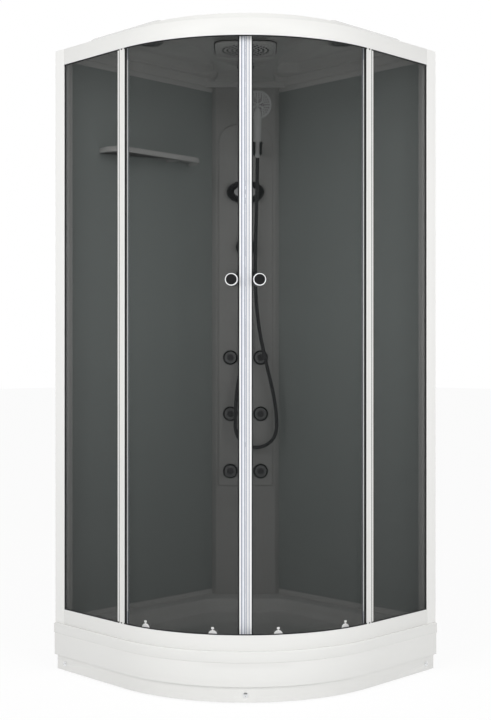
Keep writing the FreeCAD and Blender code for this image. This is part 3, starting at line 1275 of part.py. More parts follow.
def make_fan_impeller():
    """Hub and pitched blades on the fan's spindle."""
    base = ROOF_LOBE - SKIN + 3
    solids = [rod_up(FAN_HUB, 0, 0, base, base + FAN_HEIGHT)]
    for k in range(FAN_BLADES):
        blade = box(FAN_HUB - 2, GRILLE_RADIUS - 11, -6, 6, -0.8, 0.8)
        blade.rotate(V(0, 0, 0), V(1, 0, 0), 30)
        blade.rotate(V(0, 0, 0), UP, 360.0 * k / FAN_BLADES)
        blade.translate(V(0, 0, base + FAN_HEIGHT / 2))
        solids.append(blade)
    fan = joined(solids).cut(rod_up(FAN_SPINDLE + AXLE_CLEARANCE, 0, 0, base - 1, base + 2 * FAN_HEIGHT))
    fan.translate(V(-GRILLE_PLACE[0], -GRILLE_PLACE[1], 0))
    return at_front(fan)


# ================================================================ the whole cabin
def build():
    left_trims = make_left_trims()
    parts = {
        "tray": make_tray(),
        "apron": make_apron(),
        "apron_screws": make_apron_screws(),
        "base_frame": make_base_frame(),
        "levelling_feet": make_levelling_feet(),
        "waste_trap": make_waste_trap(),
        "waste_cover": make_waste_cover(),
        "left_wall_panel": make_left_panel(),
        "right_wall_panel": mirrored(make_left_panel()),
        "wall_frames": Part.makeCompound([left_trims, mirrored(left_trims)]),
        "corner_column": make_corner_column(),
        "shelf": make_shelf(),
        "top_rail": make_top_rail(),
        "bottom_rail": make_bottom_rail(),
        "left_jamb": make_left_jamb(),
        "right_jamb": mirrored(make_left_jamb()),
        "left_post": make_left_post(),
        "right_post": mirrored(make_left_post()),
        "left_fixed_glass": make_left_fixed_glass(),
        "right_fixed_glass": mirrored(make_left_fixed_glass()),
        "roof": make_roof(),
        "rain_shower": make_rain_shower(),
        "ceiling_lamp": make_ceiling_lamp(),
        "ceiling_grilles": make_ceiling_grilles(),
        "fan_impeller": make_fan_impeller(),
        "control_panel": make_control_panel(),
        "diverter_knob": make_knob(DIVERTER_HEIGHT),
        "mixer_knob": make_knob(MIXER_HEIGHT),
        "mixer_body": make_mixer_body(),
        "jet_flanges": make_jet_flanges(),
        "hand_shower": make_hand_shower(),
        "shower_cradle": make_shower_cradle(),
        "holder_bracket": make_holder_bracket(),
        "shower_hose": make_shower_hose(),
        "hose_outlet": make_hose_outlet(),
        "steam_outlet": make_steam_outlet(),
        "steam_generator": make_steam_generator(),
        "pipework": make_pipework(),
    }
    for number, (u, z) in enumerate(jet_places(), 1):
        parts["jet_nozzle_%d" % number] = make_jet_nozzle(u, z)
    for name, shape in door_parts().items():
        parts["right_" + name] = shape
        parts["left_" + name] = mirrored(shape)
    return parts


os.makedirs("parts", exist_ok=True)
whole = FreeCAD.BoundBox()
for node, shape in build().items():
    whole.add(shape.optimalBoundingBox(False))
    print("%-28s solids %2d  volume %10.0f  %s" % (node, len(shape.Solids), shape.Volume, shape.isValid()))
    shape.exportStep("parts/%s.step" % node)
corners = (whole.XMin, whole.YMin, whole.ZMin, whole.XMax, whole.YMax, whole.ZMax)
print("box %.1f %.1f %.1f to %.1f %.1f %.1f" % corners)
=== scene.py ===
# Looks of the quadrant steam shower cabin, in the frame's own axes: +Z up, the room's walls in the
# planes X minimum and Y maximum, and the curved front towards +X -Y. Places are in metres, and the
# profiles and sections of turned, drawn and swept pieces are in millimetres.
import math

import bmesh
import bpy
from mathutils import Matrix, Vector
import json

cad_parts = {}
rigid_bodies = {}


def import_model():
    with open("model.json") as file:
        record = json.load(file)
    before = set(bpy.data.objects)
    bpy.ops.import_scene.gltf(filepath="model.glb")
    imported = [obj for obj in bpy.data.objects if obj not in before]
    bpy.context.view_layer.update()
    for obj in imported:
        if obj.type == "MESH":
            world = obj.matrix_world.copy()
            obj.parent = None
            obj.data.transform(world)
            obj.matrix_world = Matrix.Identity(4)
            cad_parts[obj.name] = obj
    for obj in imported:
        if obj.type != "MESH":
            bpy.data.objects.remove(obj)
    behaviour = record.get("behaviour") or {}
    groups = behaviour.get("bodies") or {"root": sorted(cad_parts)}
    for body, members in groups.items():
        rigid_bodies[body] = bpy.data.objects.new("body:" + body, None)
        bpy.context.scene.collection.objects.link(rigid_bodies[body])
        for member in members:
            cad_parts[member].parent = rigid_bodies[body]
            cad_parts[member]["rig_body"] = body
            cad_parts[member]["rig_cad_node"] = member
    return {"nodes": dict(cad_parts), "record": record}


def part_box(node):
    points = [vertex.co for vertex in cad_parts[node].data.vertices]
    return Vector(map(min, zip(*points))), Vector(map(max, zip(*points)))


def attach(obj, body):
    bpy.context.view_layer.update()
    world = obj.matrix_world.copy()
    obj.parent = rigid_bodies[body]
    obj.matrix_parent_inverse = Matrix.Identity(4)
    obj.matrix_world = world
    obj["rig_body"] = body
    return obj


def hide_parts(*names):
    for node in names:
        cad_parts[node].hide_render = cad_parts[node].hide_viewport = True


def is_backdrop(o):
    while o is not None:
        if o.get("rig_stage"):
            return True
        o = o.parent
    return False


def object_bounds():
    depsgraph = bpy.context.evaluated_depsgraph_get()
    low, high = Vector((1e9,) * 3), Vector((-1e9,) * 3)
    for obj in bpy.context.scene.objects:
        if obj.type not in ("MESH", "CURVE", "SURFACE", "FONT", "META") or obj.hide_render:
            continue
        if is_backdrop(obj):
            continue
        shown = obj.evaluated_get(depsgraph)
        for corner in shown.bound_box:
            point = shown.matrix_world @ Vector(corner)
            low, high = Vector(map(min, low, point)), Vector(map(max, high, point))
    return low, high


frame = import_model()
cad_low, cad_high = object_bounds()

MM = 0.001


def middle(node):
    """The middle of a frame piece's box."""
    low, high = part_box(node)
    return (low + high) / 2


# ------------------------------------------------------------------ places shared with the frame
HALF = cad_high.x
FRONT_RADIUS = 0.550
ARC = Vector((HALF - FRONT_RADIUS, FRONT_RADIUS - HALF, 0))
CORNER = Vector((-HALF, HALF, 0))
FRONT_TURN = 45.0
MOUNT_FACE = 0.173            # the column's raised panel, from the corner along the diagonal

# The hose's route on the corner column, in mm: right, out of the corner, up. It starts at the
# foot of the hand shower in its holder and ends at the outlet.
HOSE_ROUTE = [
    (43.5, 236, 1765), (43.5, 217.48, 1708), (41, 215, 1600), (37, 220, 1470), (35, 222, 1345),
    (39, 221, 1230), (52, 216, 1125), (74, 211, 1020), (98, 209, 925), (113, 209, 840), (116, 210, 758),
    (87, 211, 717), (39, 212, 701), (-9, 213, 717), (-38, 213, 758), (-37, 212, 840), (-31, 208, 925),
    (-15, 202, 1003), (0, 200, 1062), (0, 200, 1113),
]

# ------------------------------------------------------------------ camera
CAMERA_PLACE = Vector((2.840, -2.840, 1.040))
CAMERA_LENS = 60.5
SENSOR_WIDTH = 36.0
CAMERA_SHIFT = -0.0053
TO_CORNER = Vector((-1, 1, 0))


def make_camera():
    """A level camera at the photograph's viewing angle, looking into the cabin's corner."""
    data = bpy.data.cameras.new("camera")
    data.lens = CAMERA_LENS
    data.sensor_width = SENSOR_WIDTH
    data.shift_y = CAMERA_SHIFT
    camera = bpy.data.objects.new("camera", data)
    bpy.context.scene.collection.objects.link(camera)
    camera.location = CAMERA_PLACE
    camera.rotation_mode = "QUATERNION"
    camera.rotation_quaternion = TO_CORNER.to_track_quat("-Z", "Y")
    bpy.context.scene.camera = camera


make_camera()


# ------------------------------------------------------------------ finishes
PURE_WHITE = (1.0, 1.0, 1.0, 1.0)
FLOOR_WHITE = 1.035           # the white that the floor shows to the camera,
FLOOR_GLOW = 0.88             # and how much of it covers the floor's own shading
# Painted shade: the glass covers more towards its foot, so the cabin's inside looks darker low down
GLASS_SHADE_FROM = 1.15        # the glass covers more below this height,
GLASS_SHADE_GAIN = 1.1              # by this share of the difference for each metre


class Amount:
    """A socket as a number or a shader. A sum on it adds the Math nodes that work it out."""

    def __init__(self, nodes, socket):
        self.nodes = nodes
        self.socket = socket

    def worked(self, operation, *values, clamp=False):
        settings = {"operation": operation, "use_clamp": clamp}
        return self.nodes.amount("ShaderNodeMath", settings, dict(enumerate(values)))

    def __add__(self, other):
        return self.worked("ADD", self, other)

    def __radd__(self, other):
        return self.worked("ADD", other, self)

    def __sub__(self, other):
        return self.worked("SUBTRACT", self, other)

    def __rsub__(self, other):
        return self.worked("SUBTRACT", other, self)

    def __mul__(self, other):
        return self.worked("MULTIPLY", self, other)

    def __rmul__(self, other):
        return self.worked("MULTIPLY", other, self)

    def sine(self):
        return self.worked("SINE", self)

    def held(self):
        """Kept from 0 to 1."""
        return self.worked("ADD", self, 0.0, clamp=True)


class Nodes:
    """A tree of nodes that starts empty."""

    def __init__(self, tree):
        self.tree = tree
        self.tree.nodes.clear()

    def node(self, kind, settings=None, sockets=None):
        """A node with its settings made first and then the values or links of its sockets."""
        made = self.tree.nodes.new(kind)
        for name, value in (settings or {}).items():
            setattr(made, name, value)
        for name, value in (sockets or {}).items():
            self.fill(made.inputs[name], value)
        return made

    def fill(self, socket, value):
        """A plain value is set on the socket, and an Amount is linked to it."""
        if isinstance(value, Amount):
            self.tree.links.new(value.socket, socket)
        else:
            socket.default_value = value

    def amount(self, kind, settings=None, sockets=None, output=0):
        return Amount(self, self.node(kind, settings, sockets).outputs[output])

    def light_rays(self, *kinds):
        """For each of these kinds of ray, 1 for such a ray and 0 for any other."""
        rays = self.node("ShaderNodeLightPath")
        return [Amount(self, rays.outputs["Is %s Ray" % kind]) for kind in kinds]

    def mixed(self, share, first, second):
        """Two shaders by a share of the second."""
        return self.amount("ShaderNodeMixShader", sockets={"Fac": share, 1: first, 2: second})


class Finish(Nodes):
    """One material, built round a Principled shader."""

    def __init__(self, name):
        self.material = bpy.data.materials.new(name)
        self.material.use_nodes = True
        super().__init__(self.material.node_tree)
        self.shader = self.node("ShaderNodeBsdfPrincipled")
        self.output = self.node("ShaderNodeOutputMaterial")
        self.surface(Amount(self, self.shader.outputs[0]))

    def surface(self, shader):
        self.fill(self.output.inputs["Surface"], shader)

    def set(self, **values):
        """Sockets of the Principled shader by name."""
        for name, value in values.items():
            self.fill(self.shader.inputs[name.replace("_", " ")], value)

    def place(self):
        return self.amount("ShaderNodeTexCoord", output="Object")

    def axes(self):
        """Object coordinates as three numbers, in metres."""
        split = self.node("ShaderNodeSeparateXYZ", sockets={"Vector": self.place()})
        return [Amount(self, socket) for socket in split.outputs]

    def noise(self, scale, detail=2.0):
        sockets = {"Vector": self.place(), "Scale": scale, "Detail": detail}
        return self.amount("ShaderNodeTexNoise", sockets=sockets)

    def tint(self, factor, first, second):
        """Between two colours, by a factor from 0 to 1."""
        sockets = {"Factor": factor, 6: (*first, 1.0), 7: (*second, 1.0)}
        return self.amount("ShaderNodeMix", {"data_type": "RGBA"}, sockets, output=2)

    def relief(self, height, depth, strength):
        """Bump of a height from 0 to 1, with its full depth in metres."""
        sockets = {"Height": height, "Distance": depth, "Strength": strength}
        self.set(Normal=self.amount("ShaderNodeBump", sockets=sockets))


def paler(colour, share):
    return tuple(min(1.0, part * share) for part in colour)


def moulded_acrylic(name, colour, roughness=0.10):
    """Glossy vacuum-formed acrylic: faint pooling of the colour and a soft orange peel."""
    finish = Finish(name)
    pool = finish.noise(2.2, detail=3.0)
    finish.set(Base_Color=finish.tint(pool, paler(colour, 0.975), paler(colour, 1.015)))
    finish.set(Roughness=roughness + 0.05 * finish.noise(9.0), Coat_Weight=0.25, Coat_Roughness=0.04)
    finish.relief(finish.noise(60.0, detail=1.0), 0.00012, 0.35)
    return finish.material


def powder_coat(name, colour, roughness=0.26):
    """Stoved powder coat on extruded aluminium: fine grain under a satin gloss."""
    finish = Finish(name)
    cloud = finish.noise(4.0)
    finish.set(Base_Color=finish.tint(cloud, paler(colour, 0.985), paler(colour, 1.01)))
    finish.set(Roughness=roughness + 0.08 * finish.noise(35.0), Specular_IOR_Level=0.5)
    finish.relief(finish.noise(900.0), 0.00003, 0.5)
    return finish.material


def wall_sheet(name, colour):
    """Back-painted gloss sheet: an even pale grey-green with a slow drift of tone."""
    finish = Finish(name)
    drift = finish.noise(0.9, detail=1.0)
    finish.set(Base_Color=finish.tint(drift, paler(colour, 0.97), paler(colour, 1.03)))
    finish.set(Roughness=0.07 + 0.04 * finish.noise(14.0), Coat_Weight=0.3, Coat_Roughness=0.03)
    return finish.material


def tinted_glass(name, colour, cover, shaded_low_cover):
    """Grey toughened glass. Each face covers its share of what is behind the pane, more near its foot:
    painted shade that darkens the cabin's inside low down.
    """
    finish = Finish(name)
    smear = finish.noise(5.0, detail=4.0)
    _, _, height = finish.axes()
    # painted shade: a share from 0 to 1 that grows towards the glass's foot
    foot = ((GLASS_SHADE_FROM - height) * GLASS_SHADE_GAIN).held()
    finish.set(Base_Color=(*colour, 1.0), Alpha=cover + (shaded_low_cover - cover) * foot)
    finish.set(Roughness=0.02 + 0.03 * smear, Specular_IOR_Level=0.05)
    return finish.material


def polished_chrome(name, colour, roughness=0.05):
    """Plated chrome with the faintest haze and swirl of wiping."""
    finish = Finish(name)
    haze = finish.noise(45.0, detail=4.0)
    finish.set(Base_Color=finish.tint(haze, paler(colour, 0.94), paler(colour, 1.02)), Metallic=1.0)
    finish.set(Roughness=roughness + 0.05 * finish.noise(120.0))
    return finish.material


def moulded_plastic(name, colour, roughness):
    """Injection-moulded plastic with a fine spark grain."""
    finish = Finish(name)
    cloud = finish.noise(20.0)
    finish.set(Base_Color=finish.tint(cloud, paler(colour, 0.95), paler(colour, 1.05)))
    finish.set(Roughness=roughness + 0.08 * finish.noise(80.0))
    finish.relief(finish.noise(400.0), 0.00004, 0.6)
    return finish.material


def rubber(name, colour):
    """Matt extruded rubber."""
    finish = Finish(name)
    finish.set(Base_Color=finish.tint(finish.noise(60.0), paler(colour, 0.8), paler(colour, 1.2)))
    finish.set(Roughness=0.55 + 0.15 * finish.noise(200.0), Specular_IOR_Level=0.3)
    return finish.material


def zinc_steel(name, colour):
    """Zinc-plated steel: spangle patches and a brushed grain."""
    finish = Finish(name)
    cells = finish.amount("ShaderNodeTexVoronoi", sockets={"Vector": finish.place(), "Scale": 90.0})
    finish.set(Base_Color=finish.tint(cells, paler(colour, 0.8), paler(colour, 1.1)), Metallic=1.0)
    finish.set(Roughness=0.32 + 0.2 * finish.noise(150.0))
    finish.relief(finish.noise(500.0), 0.00005, 0.5)
    return finish.material


def cast_brass(name, colour):
    """Sand-cast brass: one coarse grain for its tone, gloss and pits."""
    finish = Finish(name)
    grain = finish.noise(120.0, detail=4.0)
    finish.set(Base_Color=finish.tint(grain, paler(colour, 0.75), paler(colour, 1.1)), Metallic=1.0)
    finish.set(Roughness=0.3 + 0.25 * grain)
    finish.relief(grain, 0.0002, 0.6)
    return finish.material


def milky_seal(name, colour, rib_shade_colour, pitch):
    """Milky flexible seal; the light and shade of its fine ribs is painted as upright stripes round the
    front's centre.
    """
    finish = Finish(name)
    x, y, _ = finish.axes()
    across = (x - ARC.x) * math.sqrt(0.5) + (y - ARC.y) * math.sqrt(0.5)
    # painted shade: light and dark stripes stand in for the light on the seal's fine ribs
    rib_shading = (across * (2 * math.pi / pitch)).sine() * 0.5 + 0.5
    finish.set(Base_Color=finish.tint(rib_shading, rib_shade_colour, colour))
    finish.set(Roughness=0.22 + 0.1 * finish.noise(30.0))
    return finish.material


def white_light_floor():
    """The pale floor: it shows as white, and keeps the cabin's soft shadow."""
    finish = Finish("floor")
    finish.set(Base_Color=finish.tint(finish.noise(1.5), (0.90, 0.90, 0.90), (0.92, 0.92, 0.92)))
    finish.set(Roughness=0.9, Specular_IOR_Level=0.1)
    glow = finish.amount("ShaderNodeEmission", sockets={"Color": PURE_WHITE, "Strength": FLOOR_WHITE})
    seen, mirrored, passed = finish.light_rays("Camera", "Glossy", "Transmission")
    share = (seen * FLOOR_GLOW + mirrored + passed).held()
    finish.surface(finish.mixed(share, Amount(finish, finish.shader.outputs[0]), glow))
    return finish.material


# One finish for each material slot of the record
MATERIALS = {
    "white_acrylic": moulded_acrylic("acrylic_white", (0.875, 0.875, 0.858)),
    "white_frame": powder_coat("powder_white", (0.885, 0.885, 0.868)),
    "wall_panel": wall_sheet("wall_sheet_grey_green", (0.50, 0.548, 0.534)),
    "tinted_glass": tinted_glass("glass_grey", (0.012, 0.013, 0.013), 0.555, 0.645),
    "clear_seal": milky_seal("seal_milky", (0.92, 0.93, 0.96), (0.80, 0.83, 0.90), 0.0015),
    "chrome": polished_chrome("chrome_bright", (0.78, 0.79, 0.80)),
    "dark_chrome": polished_chrome("chrome_dark", (0.12, 0.12, 0.125)),
    "handset": moulded_plastic("handset_silver", (0.90, 0.91, 0.91), 0.18),
    "white_plastic": moulded_plastic("nylon_white", (0.93, 0.93, 0.93), 0.22),
    "nozzle_grey": moulded_plastic("nozzle_dark", (0.02, 0.02, 0.022), 0.35),
    "lamp_lens": moulded_plastic("lens_smoked", (0.03, 0.03, 0.032), 0.08),
    "frame_steel": zinc_steel("zinc_plate", (0.55, 0.57, 0.58)),
    "brass_body": cast_brass("brass_cast", (0.62, 0.45, 0.18)),
    "service_plastic": moulded_plastic("service_grey", (0.12, 0.125, 0.13), 0.45),
    "generator_case": powder_coat("case_grey", (0.45, 0.45, 0.46), 0.4),
}
# Finishes of single pieces
GASKET = rubber("gasket_black", (0.012, 0.012, 0.013))
SEAL_MAGNET = moulded_plastic("seal_magnet_grey", (0.30, 0.33, 0.42), 0.3)
KNOB_CHROME = polished_chrome("chrome_door_knobs", (0.96, 0.96, 0.97), 0.03)
# Painted shade: the column's chrome fittings get a near-black colour for their dark reflections inside the
# tinted cabin
FITTING_CHROME_SHADED = polished_chrome("chrome_fittings_painted_shade", (0.15, 0.15, 0.155))
HOSE_METAL = moulded_plastic("hose_steel", (0.085, 0.085, 0.09), 0.2)
NOZZLE_SILVER = moulded_plastic("nozzle_silver", (0.11, 0.11, 0.113), 0.25)
JET_SILVER = moulded_plastic("jet_silver", (0.40, 0.40, 0.405), 0.25)
# Painted shade: the corner column is white acrylic, given a darker grey for the shade inside the cabin
COLUMN_SHADED_ACRYLIC = moulded_acrylic("acrylic_white_painted_shade", (0.62, 0.62, 0.605))
# Painted light: the jambs are the frame's white powder coat, given a whiter tone for the brighter light on
# them
JAMB_LIT_WHITE = powder_coat("powder_white_jambs_painted_light", (0.97, 0.97, 0.955))

# Frame pieces whose finish differs from the rest of their slot: the column a darker copy as painted shade,
# the jambs a whiter copy as painted light
PAINTED_LIGHT_AND_SHADE_LOOKS = {"corner_column": COLUMN_SHADED_ACRYLIC, "left_jamb": JAMB_LIT_WHITE, "right_jamb": JAMB_LIT_WHITE}


def wear(piece, material):
    piece.data.materials.clear()
    piece.data.materials.append(material)


# ------------------------------------------------------------------ modelling by hand
def fresh():
    """Object mode with nothing selected, as before each new primitive."""
    if bpy.context.mode != "OBJECT":
        bpy.ops.object.mode_set(mode="OBJECT")
    bpy.ops.object.select_all(action="DESELECT")


def take(piece):
    """The one selected and active object."""
    fresh()
    piece.select_set(True)
    bpy.context.view_layer.objects.active = piece


def edit(piece):
    take(piece)
    bpy.ops.object.mode_set(mode="EDIT")


def turn_outwards():
    """Out of edit mode with all of the piece's faces pointing outwards."""
    bpy.ops.mesh.select_all(action="SELECT")
    bpy.ops.mesh.normals_make_consistent(inside=False)
    bpy.ops.object.mode_set(mode="OBJECT")


def smoothed(piece, angle=35.0):
    take(piece)
    bpy.ops.object.shade_smooth_by_angle(angle=math.radians(angle))
    return piece


def applied(piece, kind, **settings):
    """A modifier added with its settings and applied at once."""
    take(piece)
    modifier = piece.modifiers.new(kind.lower(), kind)
    for name, value in settings.items():
        setattr(modifier, name, value)
    bpy.ops.object.modifier_apply(modifier=modifier.name)
    return piece


def placed(piece, matrix):
    """The piece moved to its place, with that place then put into its mesh."""
    take(piece)
    piece.matrix_world = matrix
    bpy.ops.object.transform_apply(location=True, rotation=True, scale=True)
    return piece


def at_corner(u, v, z):
    """From a place on the corner column (u right, v out of the corner, z up) to the row frame."""
    turn = Matrix.Rotation(math.radians(FRONT_TURN), 4, "Z")
    return Matrix.Translation(CORNER) @ turn @ Matrix.Translation(Vector((u, -v, z)))


def facing_out(u, v, z):
    """The same place, with the piece's own +Z pointing out of the column."""
    return at_corner(u, v, z) @ Matrix.Rotation(math.radians(90), 4, "X")


def at_front(angle=0.0):
    """From a frame on the front's centre (x along the front, y inwards) to the row frame."""
    return Matrix.Translation(ARC) @ Matrix.Rotation(math.radians(FRONT_TURN + angle), 4, "Z")


def facing_front(angle, inset, z):
    """On the curved front, at an angle from its centre, with the piece's own +Z pointing outwards."""
    place = Matrix.Translation(Vector((0, inset * MM - FRONT_RADIUS, z * MM)))
    return at_front(angle) @ place @ Matrix.Rotation(math.radians(90), 4, "X")


def turned(name, profile, sides=48):
    """A turned piece about its own Z axis, from its (radius, height) rings in mm."""
    return drawn_out(name, [(radius, radius, height) for radius, height in profile], sides)


def drawn_out(name, sections, sides=48):
    """An oval disc drawn out along +Z and resized section by section: (half width, half depth, height)."""
    fresh()
    wide, deep, height = sections[0]
    bpy.ops.mesh.primitive_circle_add(vertices=sides, radius=MM, fill_type="NGON")
    piece = bpy.context.object
    piece.name = name
    piece.scale = (wide, deep, 1)
    piece.location = (0, 0, height * MM)
    bpy.ops.object.transform_apply(location=True, scale=True)
    bpy.ops.object.mode_set(mode="EDIT")
    bpy.ops.mesh.select_all(action="SELECT")
    for (wide, deep, low), (next_wide, next_deep, high) in zip(sections, sections[1:]):
        bpy.ops.mesh.extrude_region_move(TRANSFORM_OT_translate={"value": (0, 0, (high - low) * MM)})
        shares = (next_wide / wide, next_deep / deep, 1)
        bpy.ops.transform.resize(value=shares, center_override=(0, 0, high * MM))
    bpy.ops.mesh.select_all(action="SELECT")
    bpy.ops.mesh.remove_doubles(threshold=0.000002)
    turn_outwards()
    return smoothed(piece)


def choose_faces(piece, test):
    """In edit mode, only the faces whose centre and normal pass the test are selected."""
    bpy.ops.mesh.select_mode(type="FACE")
    bpy.ops.mesh.select_all(action="DESELECT")
    mesh = bmesh.from_edit_mesh(piece.data)
    for face in mesh.faces:
        face.select = test(face.calc_center_median(), face.normal)
    mesh.select_flush(True)
    bmesh.update_edit_mesh(piece.data)


def choose_points(piece, test):
    """In edit mode, only the points whose place passes the test are selected, with the edges between."""
    bpy.ops.mesh.select_mode(type="VERT")
    bpy.ops.mesh.select_all(action="DESELECT")
    mesh = bmesh.from_edit_mesh(piece.data)
    for vertex in mesh.verts:
        vertex.select = test(vertex.co)
    mesh.select_flush(True)
    bmesh.update_edit_mesh(piece.data)


def block(name, low, high, rounding):
    """A box between two corners, in mm, with its edges eased."""
    fresh()
    bpy.ops.mesh.primitive_cube_add(size=1)
    piece = bpy.context.object
    piece.name = name
    low, high = Vector(low) * MM, Vector(high) * MM
    piece.location = (low + high) / 2
    piece.scale = high - low
    bpy.ops.object.transform_apply(location=True, scale=True)
    bpy.ops.object.mode_set(mode="EDIT")
    bpy.ops.mesh.select_all(action="SELECT")
    bpy.ops.mesh.bevel(offset=rounding * MM, segments=2, affect="EDGES")
    bpy.ops.object.mode_set(mode="OBJECT")
    return smoothed(piece)


def copied(piece, name, matrix):
    """A copy with its own mesh, moved by a matrix of the row frame."""
    twin = piece.copy()
    twin.data = piece.data.copy()
    twin.name = name
    bpy.context.scene.collection.objects.link(twin)
    return placed(twin, matrix)


def mirrored(piece, name):
    """The other side's copy, across the vertical plane through the corner and the front's centre."""
    twin = copied(piece, name, Matrix(((0, -1, 0, 0), (-1, 0, 0, 0), (0, 0, 1, 0), (0, 0, 0, 1))))
    edit(twin)
    turn_outwards()
    return twin


def ring_of(piece, radius, count, here):
    """Copies of a small piece, evenly round a circle of a radius in mm."""
    copies = []
    for number in range(count):
        turn = 2 * math.pi * number / count
        where = Vector((radius * math.cos(turn), radius * math.sin(turn), 0)) * MM
        copies.append(copied(piece, piece.name + "_copy", here @ Matrix.Translation(where)))
    return copies


def upright_section(name, outer, inner, low, high, rounding):
    """The outline of an upright strip on the curve, as a closed loop of edges ready to be swept."""
    fresh()
    bpy.ops.mesh.primitive_plane_add(size=1)
    piece = bpy.context.object
    piece.name = name
    piece.location = (0, (outer + inner) / 2 * MM - FRONT_RADIUS, (low + high) / 2 * MM)
    piece.rotation_euler = (0, math.radians(90), 0)
    piece.scale = ((high - low) * MM, (inner - outer) * MM, 1)
    bpy.ops.object.transform_apply(location=True, rotation=True, scale=True)
    if rounding:
        bpy.ops.object.mode_set(mode="EDIT")
        bpy.ops.mesh.select_all(action="SELECT")
        bpy.ops.mesh.bevel(offset=rounding * MM, segments=3, affect="VERTICES")
        bpy.ops.object.mode_set(mode="OBJECT")
    return piece


def swept(piece, start, end, steps):
    """The section swept round the curve between two angles, left in edit mode with its end selected."""
    placed(piece, at_front(start))
    edit(piece)
    bpy.ops.mesh.select_all(action="SELECT")
    bpy.ops.mesh.delete(type="ONLY_FACE")
    bpy.ops.mesh.select_all(action="SELECT")
    bpy.ops.mesh.spin(steps=steps, angle=math.radians(start - end), center=ARC, axis=(0, 0, 1))
    return piece


def closed(piece, angle=35.0):
    """In edit mode, the open ends are filled and the piece is done."""
    bpy.ops.mesh.select_all(action="SELECT")
    bpy.ops.mesh.fill_holes(sides=0)
    turn_outwards()
    return smoothed(piece, angle)


def curved_bar(name, start, end, outer, inner, low, high, rounding=0.0):
    """An upright bar bent round the front: angles from the centre, insets and heights in mm."""
    return closed(swept(upright_section(name, outer, inner, low, high, rounding), start, end, 4))


def front_strip(name, outer, inner, low, high, rounding):
    """A strip that follows the whole front, the curve and both straight sides, up to the jambs."""
    piece = swept(upright_section(name, outer, inner, low, high, rounding), -45, 45, 36)
    straight = ARC.x + HALF - JAMB_GAP * MM
    bpy.ops.mesh.extrude_region_move(TRANSFORM_OT_translate={"value": (0, straight, 0)})
    choose_points(piece, lambda place: abs(place.x - ARC.x) < 1e-5 and place.y < ARC.y)
    bpy.ops.mesh.extrude_region_move(TRANSFORM_OT_translate={"value": (-straight, 0, 0)})
    return closed(piece)


def side_bar(name, near, far, outer, inner, low, high, rounding):
    """An upright bar on the left straight side: gaps from the wall, insets and heights in mm."""
    start = -HALF / MM
    return block(name, (start + near, start + outer, low), (start + far, start + inner, high), rounding)


def joined(pieces):
    """Several pieces made one, under the first one's name."""
    fresh()
    for piece in pieces:
        piece.select_set(True)
    bpy.context.view_layer.objects.active = pieces[0]
    bpy.ops.object.join()
    return pieces[0]


def finished(piece, body, material, slot, replaces=()):
    """The piece with its finish, the frame pieces that it stands for hidden, and its body. The slot is not
    used.
    """
    wear(piece, material)
    if replaces:
        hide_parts(*replaces)
    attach(piece, body)
    return piece


# ------------------------------------------------------------------ carried-over pieces
SLOT_OF = {part["node"]: part["material_slot"] for part in frame["record"]["subparts"]}
BODY_OF = {node: body for body, nodes in frame["record"]["behaviour"]["bodies"].items() for node in nodes}

for node, piece in frame["nodes"].items():
    wear(piece, MATERIALS[SLOT_OF[node]])

# The lamps light the cabin's inside as if its glass were clear
for node in ("left_fixed_glass", "right_fixed_glass", "left_door_glass", "right_door_glass"):
    frame["nodes"][node].visible_shadow = False
    frame["nodes"][node].visible_diffuse = False


SHARP_ANGLE = 40.0
MERGE_WITHIN = 0.00001


def eased(node, width):
    """A merged copy of a frame piece with its sharp edges eased, which stands for it."""
    fresh()
    original = frame["nodes"][node]
    piece = original.copy()
    piece.data = original.data.copy()
    bpy.context.scene.collection.objects.link(piece)
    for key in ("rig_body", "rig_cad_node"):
        del piece[key]
    piece.parent = None
    piece.name = node + "_eased"
    edit(piece)
    bpy.ops.mesh.select_all(action="SELECT")
    bpy.ops.mesh.remove_doubles(threshold=MERGE_WITHIN)
    bpy.ops.mesh.dissolve_limited(angle_limit=math.radians(0.4))
    bpy.ops.object.mode_set(mode="OBJECT")
    applied(piece, "BEVEL", width=width * MM, segments=2, limit_method="ANGLE",
            angle_limit=math.radians(SHARP_ANGLE))
    smoothed(piece, 30.0)
    material = PAINTED_LIGHT_AND_SHADE_LOOKS.get(node, MATERIALS[SLOT_OF[node]])
    return finished(piece, BODY_OF[node], material, SLOT_OF[node], [node])


# ------------------------------------------------------------------ stage and light
FLOOR_SIZE, FLOOR_HEIGHT = 60, -0.0005
CARD_SIZE, CARD_PLACE = (5.2, 3.8, 1), Vector((3.4, -3.4, 1.2))
WORLD_LIGHT, WORLD_TINT = 0.45, (1.0, 0.995, 0.985, 1.0)
LAMP_TARGET, LAMP_SIDE = Vector((0, 0, 1.0)), 2.4
LAMPS = {"key_left": (Vector((0.6, -4.2, 2.6)), 68), "fill_right": (Vector((4.2, -0.6, 2.2)), 61)}


